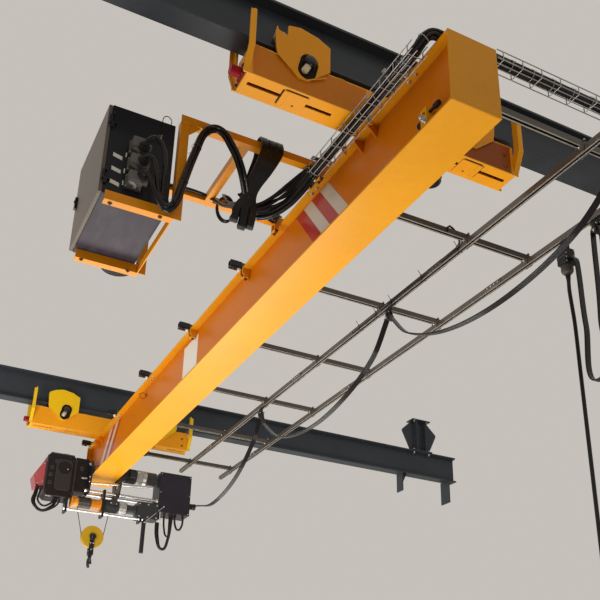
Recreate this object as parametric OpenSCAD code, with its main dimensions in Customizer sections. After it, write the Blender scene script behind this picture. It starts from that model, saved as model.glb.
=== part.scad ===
// Underslung single-girder bridge crane with its two runway beams.
// Lengths are millimetres. X runs along the runways, Y along the girder, Z up.
// Every module is drawn in the girder's own frame: the origin of that frame is the
// middle of the underside of the girder's near end plate, with the bridge where it stands.
// place() then carries it to the top face of the right hanger of the near runway.

/* [Girder] */
// Length over the two end plates
girder_len = 7030; // [6600:10:7600]
// Height over the two flanges
girder_h = 444; // [420:1:480]
// Width of the flanges
flange_w = 300; // [280:1:340]
// Thickness of the flanges
flange_t = 12; // [8:1:16]
// Outer distance over the two webs
web_gap = 180; // [160:1:190]
// Thickness of one web
web_t = 8; // [5:1:12]
// Thickness of the plates that close the ends
end_plate_t = 10; // [6:1:16]

/* [Runways] */
// Length of one runway beam
track_len = 7100; // [7000:10:7600]
// How far the beams reach to the left of the girder
track_left = 2300; // [2280:10:2400]
// Distance of the near runway from the girder's near end
near_overhang = 820; // [780:5:860]
// Distance of the far runway from the girder's far end
far_overhang = 420; // [400:5:440]
// Height of the runway beam
track_h = 350; // [320:1:380]
// Width of its flanges
track_w = 138; // [120:1:150]
// Thickness of its web
track_web = 14; // [10:1:18]
// Flange thickness at the edge
track_edge = 16; // [12:1:20]
// Flange thickness at the web
track_root = 26; // [22:1:32]
// Clear height between the truck boxes and the runway
track_clear = 50; // [40:1:60]
// How far a travel stop hangs under the runway
stop_drop = 250; // [230:1:255]
// How far the last stop at the runway's right end hangs under it
end_drop = 310; // [240:1:330]
// Width of the last stop
end_stop_w = 190; // [140:2:200]

/* [Hangers] */
// Place of the right hangers, from the girder
hanger_x = 4250; // [4000:10:4500]
// Distance between the hangers of one beam
hanger_pitch = 6000; // [5800:10:6400]
// Height of a hanger over the runway
hanger_h = 460; // [380:5:600]
// Width of a hanger at its top plate
hanger_top_w = 290; // [260:2:340]
// Width of a hanger half way up
hanger_mid_w = 552; // [480:2:600]
// Width of a hanger at its foot
hanger_foot_w = 320; // [280:5:360]
// Plate thickness of hangers and stops
plate_t = 14; // [10:1:20]
// Pitch of the ceiling bolts along X
bolt_pitch_x = 200; // [170:2:210]
// Pitch of the ceiling bolts along Y
bolt_pitch_y = 100; // [80:1:110]
// Diameter of the ceiling bolt holes
bolt_hole_d = 22; // [14:1:26]

/* [End trucks] */
// Length of a truck box
truck_len = 1778; // [1700:2:1900]
// Width of a truck box
truck_w = 170; // [166:1:176]
// Height of a truck box
truck_h = 206; // [190:1:230]
// Wall of a truck box
truck_wall = 8; // [5:1:12]
// Thickness of the wheel cheeks
cheek_t = 12; // [8:1:16]
// Length of a wheel cheek
cheek_len = 343; // [330:1:356]
// Width and height of the oval hole in a cheek
hole_w = 112; // [100:1:120]
hole_h = 186; // [170:1:200]
// Radius of a truck wheel at mid tread
truck_wheel_r = 62; // [56:1:66]
// Distance of the outer wheel from the middle of the truck
wheel_out_x = 685; // [670:1:700]
// Distance of the inner wheel from the middle of the truck
wheel_in_x = 480; // [465:1:495]
// Length of a rubber buffer
buffer_len = 60; // [40:1:80]
// Diameter of a rubber buffer
buffer_d = 56; // [40:1:70]

/* [Cabinet] */
// Depth of the cabinet along X
cab_w = 360; // [320:5:380]
// Width of the cabinet along Y
cab_l = 655; // [620:5:700]
// Height of the cabinet
cab_h = 582; // [520:1:620]
// Sheet thickness of the cabinet
cab_wall = 4; // [3:0.5:6]
// Depth of the folded door
door_t = 22; // [18:1:30]
// Leg of the frame angles
angle_leg = 50; // [40:1:60]
// Thickness of the frame angles
angle_t = 6; // [4:1:8]

/* [Festoon] */
// Side of the square C-rail
rail_s = 40; // [36:1:44]
// Lip opening of the C-rail
rail_slot = 14; // [10:1:18]
// Wall of the C-rail
rail_wall = 4; // [3:0.5:5]
// Place of the hoist's rail beside the girder
rail_in_x = 1070; // [1062:1:1090]
// Place of the pendant's rail beside the girder
rail_out_x = 1600; // [1560:1:1640]
// How far the rails reach past the far end
rail_past = 190; // [150:10:260]
// Distance of the last rail arm from the girder's far end
arm_end = 102; // [80:1:160]
// Number of rail arms
arm_count = 7; // [6:1:8]
// Width of the wire trays
tray_w = 95; // [85:1:100]
// Height of the wire trays
tray_h = 60; // [50:1:64]
// Diameter of the tray wires
wire_d = 6; // [4:0.5:8]

/* [Hoist] */
// Distance of the parked hoist from the girder's far end
hoist_back = 300; // [290:1:320]
// Length of a trolley side plate
side_len = 380; // [360:2:390]
// Thickness of a trolley side plate
side_t = 14; // [10:1:18]
// Radius of a trolley wheel
trolley_wheel_r = 46; // [40:1:50]
// Tread width of a trolley wheel
trolley_wheel_w = 42; // [36:1:44]
// Diameter of the upper tie rods
tie_d = 30; // [24:1:36]
// Diameter of the rope drum
drum_d = 110; // [100:1:120]
// Diameter of the ropes
rope_d = 9; // [7:1:12]
// Width, depth and height of the control box
control_w = 378; // [340:2:390]
control_d = 260; // [240:2:270]
control_h = 473; // [440:1:490]
// Diameter and length of the limit switch's rod
limit_d = 48; // [30:1:56]
limit_len = 376; // [320:2:400]
// Distance of the hook sheave under the girder
hook_drop = 670; // [650:5:740]
// Diameter of the hook sheave
sheave_d = 246; // [220:2:250]
// Width of the hook sheave
sheave_w = 48; // [36:1:52]
// Diameter of the hook's steel at its bend
hook_d = 30; // [26:1:34]
// Radius of the hook's inner bend
hook_r = 34; // [30:1:40]

/* [Hidden] */

// Colours
crane_yellow = "#f0a010";
track_blue = "#3c434d";
black = "#202124";
steel = "#b8bcc0";
zinc = "#8f8577";
red = "#b01820";

// Smoothness of round parts
$fn = 36;
// Air left between curved faces of different bodies
gap = 0.3;

// Places worked out from the sizes
near_y = near_overhang;
far_y = girder_len - far_overhang;
truck_top = girder_h + truck_h;
track_z = truck_top + track_clear;
track_top = track_z + track_h;
hanger_top = track_top + hanger_h;
left_hanger_x = hanger_x - hanger_pitch;
track_right = track_len - track_left;
arm_y0 = 352;
arm_pitch = (girder_len - arm_y0 - arm_end) / (arm_count - 1);
arm_reach = rail_out_x + rail_s / 2;
arm_z = girder_h;
rail_z = arm_z - 4 - rail_s;
rail_y0 = 60;
rail_y1 = girder_len + rail_past;
hoist_y = girder_len - hoist_back;
wheel_z = track_z + track_face(track_w / 4) + truck_wheel_r;

// Height of the inner face of a runway flange above its underside, at a distance from the web
function track_face(u) =
    track_edge + (track_root - track_edge) * (track_w / 2 - u) / (track_w / 2 - track_web / 2);

// Carries the girder's frame to the hanger plate that holds the crane
module place() {
    translate([-hanger_x, -near_y, -hanger_top]) children();
}

// A box from its lowest to its highest corner
module block(lo, hi) {
    translate(lo) cube([hi[0] - lo[0], hi[1] - lo[1], hi[2] - lo[2]]);
}

// An outline in Y and Z carried along X
module along_x(x0, x1) {
    translate([x0, 0, 0]) rotate([90, 0, 90]) linear_extrude(x1 - x0) children();
}

// An outline in X and Z carried along Y
module along_y(y0, y1) {
    translate([0, y1, 0]) rotate([90, 0, 0]) linear_extrude(y1 - y0) children();
}

// Round bars along the three axes
module bar_x(x0, x1, y, z, d) {
    translate([x0, y, z]) rotate([0, 90, 0]) cylinder(d = d, h = x1 - x0);
}

module bar_y(x, y0, y1, z, d) {
    translate([x, y0, z]) rotate([-90, 0, 0]) cylinder(d = d, h = y1 - y0);
}

module bar_z(x, y, z0, z1, d) {
    translate([x, y, z0]) cylinder(d = d, h = z1 - z0);
}

// A slot with round ends, upright about its middle
module slot_2d(w, h) {
    square([w, h - w], center = true);
    for (s = [-1, 1]) translate([0, s * (h - w) / 2]) circle(d = w);
}

// A tube swept along a list of points, flat across X when wide and high differ.
// Each ring stands square to the mean of its two neighbouring stretches.
function unit(v) = v / norm(v);
function tangent(p, i) = unit(p[min(i + 1, len(p) - 1)] - p[max(i - 1, 0)]);
function ring(c, t, side, w, h, n) =
    let (s = unit(side - (side * t) * t), u = cross(t, s))
    [for (k = [0:n - 1])
        c + s * (w / 2) * cos(360 * k / n) + u * (h / 2) * sin(360 * k / n)];

module cord(p, w, h, side, n = 8) {
    m = len(p);
    rings = [for (i = [0:m - 1]) each ring(p[i], tangent(p, i), side, w, h, n)];
    sides = [for (i = [0:m - 2], k = [0:n - 1])
        let (a = i * n + k, b = i * n + (k + 1) % n)
            each [[a, b + n, b], [a, a + n, b + n]]];
    ends = [[for (k = [0:n - 1]) k], [for (k = [n - 1:-1:0]) (m - 1) * n + k]];
    polyhedron(points = rings, faces = concat(sides, ends), convexity = 10);
}

// Runway beam: a rolled section with tapered flanges
module track_outline() {
    b = track_w / 2;
    w = track_web / 2;
    h = track_h;
    polygon([[-b, 0], [b, 0], [b, track_edge], [w, track_root], [w, h - track_root],
        [b, h - track_edge], [b, h], [-b, h], [-b, h - track_edge], [-w, h - track_root],
        [-w, track_root], [-b, track_edge]]);
}

module track(y) {
    color(track_blue) place() along_x(-track_left, track_right)
        translate([y, track_z]) track_outline();
}

module track_near() {
    track(near_y);
}

module track_far() {
    track(far_y);
}

// Hanger: a six-sided web plate, widest half way up, with two cross ribs, between a foot plate
// and the top plate that is bolted up
module hanger(x, y) {
    foot = hanger_foot_w / 2;
    mid = hanger_mid_w / 2;
    top = hanger_top_w / 2;
    foot_z = track_top + plate_t;
    top_z = hanger_top - plate_t;
    translate([x, y, 0]) {
        block([-foot, -track_w / 2 - 10, track_top], [foot, track_w / 2 + 10, foot_z]);
        difference() {
            block([-top, -track_w / 2 - 10, top_z], [top, track_w / 2 + 10, hanger_top]);
            for (x = [-1, 1], y = [-1, 1])
                bar_z(x * bolt_pitch_x / 2, y * bolt_pitch_y / 2, top_z - 1, hanger_top + 1,
                    bolt_hole_d);
        }
        along_y(-plate_t / 2, plate_t / 2)
            polygon([[-foot + 8, foot_z], [foot - 8, foot_z], [mid, top_z - 170],
                [mid, top_z - 145], [top - 24, top_z], [24 - top, top_z],
                [-mid, top_z - 145], [-mid, top_z - 170]]);
        for (s = [-1, 1])
            along_x(s * top / 2 - plate_t / 2, s * top / 2 + plate_t / 2)
                polygon([[-track_w / 2, foot_z], [track_w / 2, foot_z],
                    [track_w / 2 + 5, top_z], [-track_w / 2 - 5, top_z]]);
    }
}

module track_hangers() {
    color(track_blue) place() for (x = [left_hanger_x, hanger_x], y = [near_y, far_y])
        hanger(x, y);
}

// Stop: a plate under the runway with a rib behind it, in the way of the trucks
stop_left_x = -track_left + 120;
stop_right_x = track_right - 880;

module track_stop(x, y, back) {
    translate([x, y, 0]) {
        block([-plate_t / 2, -track_w / 2, track_z - stop_drop],
            [plate_t / 2, track_w / 2, track_z]);
        along_y(-plate_t / 2, plate_t / 2)
            polygon([[back * plate_t / 2, track_z], [back * plate_t / 2, track_z - 200],
                [back * 100, track_z]]);
    }
}

module end_stop(x, y) {
    block([x, y - end_stop_w / 2, track_z - end_drop], [x + plate_t, y + end_stop_w / 2, track_z]);
}

module track_stops() {
    color(track_blue) place() for (y = [near_y, far_y]) {
        track_stop(stop_left_x, y, -1);
        track_stop(stop_right_x, y, 1);
        end_stop(track_right - 150, y);
    }
}

// Box girder: two webs between two flanges that stand out past them
module girder_webs() {
    color(crane_yellow) place() for (s = [0, 1]) mirror([s, 0, 0])
        block([web_gap / 2 - web_t, end_plate_t, flange_t],
            [web_gap / 2, girder_len - end_plate_t, girder_h - flange_t]);
}

module girder_flanges() {
    color(crane_yellow) place() for (z = [0, girder_h - flange_t])
        block([-flange_w / 2, end_plate_t, z],
            [flange_w / 2, girder_len - end_plate_t, z + flange_t]);
}

module girder_end_plates() {
    color(crane_yellow) place() for (y = [0, girder_len - end_plate_t])
        block([-flange_w / 2, y, 0], [flange_w / 2, y + end_plate_t, girder_h]);
}

// Trolley stops: a bracket on each overhang of the bottom flange with a rubber pad
trolley_stop_len = 50;
trolley_pad = 40;
near_stop_y = 212;
far_stop_y = hoist_y + side_len / 2 + trolley_pad + 6;
near_pad_end = near_stop_y + trolley_stop_len + trolley_pad;

module trolley_stop(y, toward) {
    x0 = web_gap / 2 + 8;
    x1 = flange_w / 2 - 4;
    for (s = [0, 1]) mirror([s, 0, 0]) {
        difference() {
            block([x0, y, flange_t], [x1, y + trolley_stop_len, flange_t + 110]);
            bar_x(x0 - 1, x1 + 1, y + trolley_stop_len / 2, flange_t + 75, 30);
        }
        pad_y = toward > 0 ? y + trolley_stop_len : y - trolley_pad;
        bar_y((x0 + x1) / 2, pad_y, pad_y + trolley_pad, flange_t + 50, 40);
    }
}

module girder_stops() {
    color(crane_yellow) place() {
        trolley_stop(near_stop_y, 1);
        trolley_stop(far_stop_y, -1);
    }
}

// End truck: a closed box with slots and a reinforcing plate in its floor
patch_t = 6;

module truck(y) {
    a = truck_len / 2;
    b = truck_w / 2;
    w = truck_wall;
    translate([0, y, 0]) difference() {
        union() {
            block([-a, -b, girder_h], [a, b, truck_top]);
            for (s = [-1, 1])
                block([s * 595 - 75, -63, girder_h - patch_t], [s * 595 + 75, 60, girder_h]);
        }
        block([-a + w, -b + w, girder_h + w], [a - w, b - w, truck_top - w]);
        for (s = [-1, 1]) {
            block([s * 758 - 112, -20, girder_h - 20], [s * 758 + 112, 5, girder_h + w + 1]);
            block([s * 437 - 82, -17, girder_h - 20], [s * 437 + 82, 5, girder_h + w + 1]);
            bar_z(s * 583, 27, girder_h - 20, girder_h + w + 1, 14);
        }
    }
}

module truck_near() {
    color(crane_yellow) place() truck(near_y);
}

module truck_far() {
    color(crane_yellow) place() truck(far_y);
}

// Wheel cheek: the lobed plate that carries two wheels on one side of the runway.
// On the near truck its outer top corner is notched.
module cheek_outline(notched) {
    low = girder_h + 83;
    top = wheel_z + 106;
    u = cheek_len / 2;
    corner = notched
        ? [[0.55 * u, top - 22], [0.55 * u, top - 94], [0.89 * u, top - 77],
            [0.94 * u, top - 50], [u, top - 100]]
        : [[0.6 * u, top - 20], [0.97 * u, top - 56], [u, top - 80]];
    translate([(wheel_in_x + wheel_out_x) / 2, 0]) difference() {
        polygon(concat([[-u, low + 124], [-u, top - 62], [-0.53 * u, top - 20], [0.12 * u, top],
            [0.5 * u, top - 16]], corner,
            [[0.94 * u, low + 154], [0.89 * u, low + 120], [0.12 * u, low], [-0.23 * u, low + 3]]));
        translate([-0.2 * u, low + 103]) rotate(12) slot_2d(hole_w, hole_h);
    }
}

module truck_cheeks() {
    color(crane_yellow) place() for (y = [near_y, far_y], s = [0, 1], f = [-1, 1])
        mirror([s, 0, 0]) translate([0, y, 0])
            along_y(min(f * truck_w / 2, f * (truck_w / 2 + cheek_t)),
                max(f * truck_w / 2, f * (truck_w / 2 + cheek_t)))
                cheek_outline(y == near_y);
}

// Wheels run on both flanges of a runway, coned to the flange, each on a stub from its cheek.
// A short dark pin through the oval hole ties the cheek to the box.
tread_in = 26;
tread_out = 62;
pin_d = 62;

module truck_wheel(x, y, f) {
    r_in = wheel_z - track_z - track_face(tread_in) - gap;
    r_out = wheel_z - track_z - track_face(tread_out) - gap;
    translate([x, y, wheel_z]) rotate([-90 * f, 0, 0]) {
        translate([0, 0, tread_in]) cylinder(r1 = r_in, r2 = r_out, h = tread_out - tread_in);
        translate([0, 0, tread_out]) cylinder(d = 60, h = truck_w / 2 - tread_out);
    }
}

module truck_wheels() {
    color(steel) place() for (y = [near_y, far_y], s = [-1, 1], f = [-1, 1]) {
        for (x = [wheel_in_x, wheel_out_x]) truck_wheel(s * x, y, f);
        translate([s * 548, y, truck_top - 4]) rotate([-90 * f, 0, 0])
            translate([0, 0, truck_w / 2]) cylinder(d = pin_d, h = cheek_t + 34);
    }
}

// Guard: the bent plate at each end of a truck that reaches up beside the runway
module guard_outline() {
    b = truck_w / 2;
    for (s = [0, 1]) mirror([s, 0])
        polygon([[0, girder_h], [b, girder_h], [b, girder_h + 18], [b + 62, girder_h + 145],
            [b + 62, track_z + 130], [b + 50, track_z + 150], [b + 14, track_z + 150],
            [b + 14, girder_h + 165], [b - 10, girder_h + 120], [0, girder_h + 120]]);
}

module guard_edge() {
    b = truck_w / 2;
    for (s = [0, 1]) mirror([s, 0])
        polygon([[b, girder_h], [b, girder_h + 18], [b + 62, girder_h + 145],
            [b + 62, track_z + 130], [b + 52, track_z + 130], [b + 52, girder_h + 147],
            [b - 8, girder_h + 20], [b - 8, girder_h]]);
}

guard_t = 12;
guard_edge_w = 22;

module truck_guards() {
    a = truck_len / 2;
    color(crane_yellow) place() for (y = [near_y, far_y], s = [0, 1])
        mirror([s, 0, 0]) translate([0, y, 0]) {
            along_x(a, a + guard_t) guard_outline();
            along_x(a + guard_t, a + guard_t + guard_edge_w) guard_edge();
        }
}

// Buffers: a red rubber on the guard plate at the left end of each truck
buffer_z = girder_h + 60;

module truck_buffers() {
    x0 = truck_len / 2 + guard_t;
    color(red) place() for (y = [near_y, far_y])
        mirror([1, 0, 0]) {
            block([x0, y - 40, buffer_z - 40], [x0 + 8, y + 40, buffer_z + 40]);
            bar_x(x0 + 8, x0 + 8 + buffer_len, y, buffer_z, buffer_d);
        }
}

// Travel drives: a gearcase on a cheek with an upright motor hanging from it
module travel_drive(x, y) {
    out = truck_w / 2 + cheek_t;
    translate([x, y, 0]) {
        block([-100, out, girder_h + 120], [24, out + 90, wheel_z + 10]);
        bar_z(-38, out + 66, girder_h - 20, girder_h + 120, 124);
        bar_z(-38, out + 66, girder_h - 56, girder_h - 20, 112);
    }
}

module truck_drives() {
    color("#4a4d50") place() {
        travel_drive(wheel_in_x, near_y);
        travel_drive(wheel_in_x, far_y);
    }
}

// Cabinet and its frame of angles, fixed on the girder's top flange
cab_x1 = -1100;
cab_x0 = cab_x1 - cab_w;
cab_y0 = 1290;
cab_y1 = cab_y0 + cab_l;
cab_z0 = -162;
cab_z1 = cab_z0 + cab_h;
post_x = cab_x1 + 22;
frame_y0 = cab_y0 - 30;
frame_y1 = cab_y1 - angle_leg;
frame_low = cab_z0 - angle_t;

// Angle outline with its corner at the origin and its legs along the first and second axes
module angle_2d(a, b) {
    square([a, angle_t]);
    square([angle_t, b]);
}

module cabinet_frame() {
    leg = angle_leg;
    color(crane_yellow) place() {
        for (y = [frame_y0, frame_y1])
            along_x(post_x, -flange_w / 2 + 60)
                translate([y, girder_h]) angle_2d(leg, leg);
        along_y(frame_y0 + leg, frame_y1)
            translate([-690, girder_h]) angle_2d(leg, leg);
        for (y = [frame_y0, frame_y1])
            translate([post_x, y, frame_low - leg])
                linear_extrude(girder_h - frame_low + leg) angle_2d(leg, leg);
        along_y(frame_y0 + leg, frame_y1)
            translate([post_x, frame_low - leg]) square([angle_t, leg]);
        for (y = [frame_y0, frame_y1])
            along_x(cab_x0 + 10, post_x) translate([y, frame_low - leg])
                angle_2d(leg, leg + angle_t);
        for (x = [cab_x0 + 40, cab_x1 - 80])
            block([x, cab_y0, frame_low - leg + angle_t], [x + 40, frame_y0 + leg, cab_z0]);
    }
}

// Cabinet: an open-sided steel box with a mounting plate, hinge lugs and its door's pins
hinge_x = cab_x0 - 9;
hinge_y = cab_y0 - 7;
hinge_zs = [cab_z0 + 80, cab_z0 + 450];
hinge_len = 44;
pin_r = 4;

module cabinet_shell() {
    w = cab_wall;
    color(black) place() {
        difference() {
            block([cab_x0, cab_y0, cab_z0], [cab_x1, cab_y1, cab_z1]);
            block([cab_x0 - 1, cab_y0 + w, cab_z0 + w], [cab_x1 - w, cab_y1 - w, cab_z1 - w]);
        }
        block([cab_x1 - w - 24, cab_y0 + 40, cab_z0 + 40],
            [cab_x1 - w, cab_y1 - 40, cab_z1 - 40]);
        for (z = hinge_zs) {
            bar_z(hinge_x, hinge_y, z, z + 10, 16);
            block([hinge_x, hinge_y - 8, z], [cab_x0 + 30, cab_y0, z + 10]);
            bar_z(hinge_x, hinge_y, z + 10, z + 10 + hinge_len, 2 * pin_r);
        }
    }
}

// Door: a folded panel that turns about the pins at the near left edge
module cabinet_door() {
    face = cab_x0 - door_t;
    color("#7d7468") place() {
        difference() {
            block([face, cab_y0 + 3, cab_z0 + 3], [cab_x0 - 2, cab_y1, cab_z1 - 3]);
            block([face + 3, cab_y0 + 22, cab_z0 + 6], [cab_x0 - 1, cab_y1 - 3, cab_z1 - 6]);
        }
        for (z = hinge_zs) {
            difference() {
                bar_z(hinge_x, hinge_y, z + 10 + gap, z + 10 + hinge_len, 20);
                bar_z(hinge_x, hinge_y, z, z + 60, 2 * pin_r + 0.12);
            }
            block([face, hinge_y + 8, z + 10 + gap], [hinge_x, cab_y0 + 3, z + 10 + hinge_len]);
        }
        block([face - 14, cab_y1 - 60, cab_z0 + 260], [face, cab_y1 - 34, cab_z0 + 340]);
    }
}

// Plug connectors on the cabinet's near face, with a hood and a cable gland each
plug_zs = [cab_z0 + 104, cab_z0 + 215, cab_z0 + 328];

module cabinet_plugs() {
    color("#55585a") place() for (z = plug_zs) {
        block([-1350, cab_y0 - 18, z - 40], [-1262, cab_y0, z + 40]);
        block([-1344, cab_y0 - 78, z - 34], [-1268, cab_y0 - 18, z + 34]);
        bar_x(-1268, -1240, cab_y0 - 48, z, 44);
    }
}

// Beacon: a flat round horn on a bracket at the cabinet's far wall
beacon_d = 200;

module cabinet_beacon() {
    x = cab_x0 + 295;
    y = cab_y1 + beacon_d / 2 + 8;
    z = cab_z0 + 37;
    color(black) place() {
        block([x - 30, cab_y1, z + 34], [x + 30, y + 30, z + 40]);
        block([x - 30, cab_y1, z + 40], [x + 30, cab_y1 + 6, z + 120]);
        bar_z(x, y, z, z + 34, beacon_d);
    }
}

// C-rail outline, open at the bottom, centred over the origin
module rail_2d() {
    s = rail_s;
    difference() {
        translate([-s / 2, 0]) square([s, s]);
        translate([-s / 2 + rail_wall, rail_wall]) square([s - 2 * rail_wall, s - 2 * rail_wall]);
        translate([-rail_slot / 2, -1]) square([rail_slot, rail_wall + 2]);
    }
}

// Rail arms lie across the girder and carry the two rails on short clamps
module festoon_arms() {
    color(zinc) place() for (i = [0:arm_count - 1]) {
        y = arm_y0 + i * arm_pitch;
        along_x(-flange_w / 2 - 35, arm_reach) translate([y, arm_z]) rail_2d();
        for (x = [rail_in_x, rail_out_x])
            block([x - 26, y - 30, rail_z + rail_s], [x + 26, y + 30, arm_z]);
    }
}

// A rail with the clamp at its near end that the flat cable is fixed in
module rail(x) {
    along_y(rail_y0, rail_y1) translate([x, rail_z]) rail_2d();
    block([x - 30, rail_y0, rail_z - 40], [x + 30, rail_y0 + 40, rail_z]);
}

module hoist_rail() {
    color(zinc) place() rail(rail_in_x);
}

module pendant_rail() {
    color(zinc) place() rail(rail_out_x);
}

// Wire trays: long wires tied by U-shaped wires at an even pitch
tray_x = -225;
tray_z = girder_h - tray_h - 14;
tray_y0 = 134;
tray_y1 = frame_y0 - 30;
cross_y = 105;
cross_z = girder_h + 30;
cross_x0 = flange_w / 2 + 60;
u_pitch = 130;

module wire_tray(length) {
    d = wire_d;
    w = tray_w;
    for (x = [-w / 2, -w / 6, w / 6, w / 2]) bar_y(x, 0, length, d / 2, d);
    for (x = [-w / 2, w / 2]) bar_y(x, 0, length, tray_h - d / 2, d);
    for (y = [40:u_pitch:length - 20]) {
        bar_x(-w / 2, w / 2, y, d / 2, d);
        for (x = [-w / 2, w / 2]) bar_z(x, y, d / 2, tray_h - d / 2, d);
    }
}

module cable_trays() {
    color(steel) place() {
        translate([tray_x, tray_y0, tray_z]) wire_tray(tray_y1 - tray_y0);
        for (y = [tray_y0 + 240, tray_y1 - 60])
            block([tray_x - tray_w / 2 - 8, y, girder_h], [-flange_w / 2 + 60, y + 30, girder_h + 4]);
        for (y = [tray_y0 + 240, tray_y1 - 60], s = [-1, 1])
            block([tray_x + s * tray_w / 2 - 2, y, tray_z + tray_h - wire_d],
                [tray_x + s * tray_w / 2 + 2, y + 30, girder_h]);
        translate([cross_x0, cross_y, cross_z]) rotate([0, 0, -90])
            wire_tray(rail_out_x - cross_x0);
        for (x = [rail_in_x, rail_out_x - 30])
            block([x - 12, cross_y - tray_w / 2, rail_z + rail_s], [x + 12, cross_y + 20, cross_z]);
    }
}

// Cable bundle: from the hank of spare cable in a slack bend into the side tray, over the
// girder's near end and along the cross tray
tray_route = [[-470, 1640, 272], [-425, 1640, 222], [-355, 1580, 202], [-295, 1475, 226],
    [-252, 1380, 292], [-230, 1310, 368], [-225, 1240, 408], [-225, 1150, 408],
    [-225, 190, 408], [-223, 146, 418], [-208, 112, 452], [-168, 100, 486], [-100, 97, 492],
    [0, 97, 489], [100, 100, 491], [180, 104, 509], [230, 105, 512], [1560, 105, 512]];
bundle_d = 63;

module tray_cables() {
    color(black) place() cord(tray_route, bundle_d, bundle_d, [1, 1, 0], 10);
}

// Cable from the cabinet's plugs over the near arm to the hank of spare cable
cabinet_route = [[-1240, 1242, -58], [-1210, 1242, -58], [-1160, 1238, -110],
    [-1110, 1232, -130], [-1070, 1228, -70], [-1035, 1224, 80], [-1005, 1222, 230],
    [-975, 1222, 370], [-952, 1224, 470], [-918, 1240, 528], [-870, 1290, 545],
    [-800, 1380, 490], [-725, 1465, 400], [-655, 1540, 335], [-590, 1590, 310]];
cabinet_cable_d = 46;

module cabinet_cable() {
    color(black) place() cord(cabinet_route, cabinet_cable_d, cabinet_cable_d, [0, 1, 0], 8);
}

// Spare cable folded into a hank and slung over the near arm
module spare_cable_hank() {
    color(black) place() translate([-520, 0, 0]) rotate([90, 0, 90])
        translate([0, 0, -45]) linear_extrude(90) difference() {
            polygon([[1235, 498], [1250, 516], [1300, 520], [1345, 500], [1760, 330],
                [1790, 280], [1760, 250], [1700, 246], [1560, 290], [1340, 400],
                [1318, 440], [1312, 494], [1252, 494], [1250, 430], [1235, 430]]);
        }
}

// Flat festoon cable: fixed at the near end, slung over two saddles, ending at the hoist
festoon_route = [[1070, 80, 360], [1070, 80, 320], [1070, 170, 130], [1070, 520, -80],
    [1070, 1100, -180], [1070, 1700, -130], [1070, 2180, 60], [1070, 2407, 300],
    [1070, 2417, 330], [1070, 2440, 340], [1070, 2463, 330], [1070, 2473, 300],
    [1070, 2700, 60], [1070, 3200, -120], [1070, 3750, -170], [1070, 4350, -60],
    [1070, 4740, 200], [1070, 4797, 300], [1070, 4807, 330], [1070, 4830, 340],
    [1070, 4853, 330], [1070, 4863, 300], [1070, 4980, 110], [1070, 5450, -180],
    [1070, 6050, -290], [1070, 6520, -200], [1070, 6630, -175], [1070, 6670, -175]];
festoon_w = 46;
festoon_h = 14;
saddle_ys = [2440, 4830];

module hoist_festoon_cable() {
    color(black) place() cord(festoon_route, festoon_w, festoon_h, [1, 0, 0], 8);
}

// Festoon saddle: rollers in the rail's slot, a hanger plate and a round cable seat
roller_d = 20;
roller_z = rail_z + rail_wall + roller_d / 2 + gap;

module festoon_saddle(x, y) {
    seat_z = rail_z - 78;
    translate([x, y, 0]) {
        for (s = [-1, 1]) bar_x(-13, 13, s * 26, roller_z, roller_d);
        block([-2.5, -40, rail_z - 40], [2.5, 40, roller_z]);
        block([-26, -30, rail_z - 46], [26, 30, rail_z - 40]);
        for (s = [-1, 1]) block([s * 26 - 2, -12, seat_z], [s * 26 + 2, 12, rail_z - 40]);
        bar_x(-28, 28, 0, seat_z - 14, 40);
    }
}

module festoon_saddle_1() {
    color(black) place() festoon_saddle(rail_in_x, saddle_ys[0]);
}

module festoon_saddle_2() {
    color(black) place() festoon_saddle(rail_in_x, saddle_ys[1]);
}

// Pendant line: saddles parked at the near end of the outer rail, and the plug box
pendant_y = 1076;
pendant_x = rail_out_x;
box_top = rail_z - 60;

module pendant_box() {
    color(black) place() translate([pendant_x, pendant_y, 0]) {
        for (s = [-1, 1]) bar_x(-13, 13, s * 26, roller_z, roller_d);
        block([-2.5, -40, box_top - 20], [2.5, 40, roller_z]);
        block([-45, -38, box_top - 140], [45, 38, box_top - 20]);
        bar_z(0, 0, box_top - 190, box_top - 140, 52);
        bar_z(0, 0, box_top - 214, box_top - 190, 36);
    }
}

module pendant_saddle_1() {
    color(black) place() festoon_saddle(pendant_x, pendant_saddle_ys[0]);
}

module pendant_saddle_2() {
    color(black) place() festoon_saddle(pendant_x, pendant_saddle_ys[1]);
}

// Flat feed cable of the pendant, bunched in loops at the near end of its rail
feed_route = [[1600, 80, 360], [1600, 80, 300], [1600, 110, -100], [1600, 200, -620],
    [1600, 300, -780], [1600, 400, -620], [1600, 480, -100], [1600, 487, 300],
    [1600, 497, 330], [1600, 520, 340], [1600, 543, 330], [1600, 553, 300],
    [1600, 565, -300], [1600, 655, -840], [1600, 745, -300], [1600, 757, 300],
    [1600, 767, 330], [1600, 790, 340], [1600, 813, 330], [1600, 823, 300],
    [1600, 850, -300], [1600, 920, -700], [1600, 975, -300], [1600, 985, 180],
    [1600, 1008, 230], [1600, 1038, 230]];
feed_w = 46;
feed_h = 12;
pendant_saddle_ys = [520, 790];

module pendant_feed_cable() {
    color(black) place() cord(feed_route, feed_w, feed_h, [1, 0, 0], 8);
}

pendant_route = [[1600, 1076, 126], [1600, 1076, 60], [1603, 1076, -600],
    [1606, 1076, -1400], [1606, 1076, -2160]];
pendant_d = 26;
station_top = -2160;

module pendant_cable() {
    color(black) place() cord(pendant_route, pendant_d, pendant_d, [1, 0, 0], 10);
}

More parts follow.
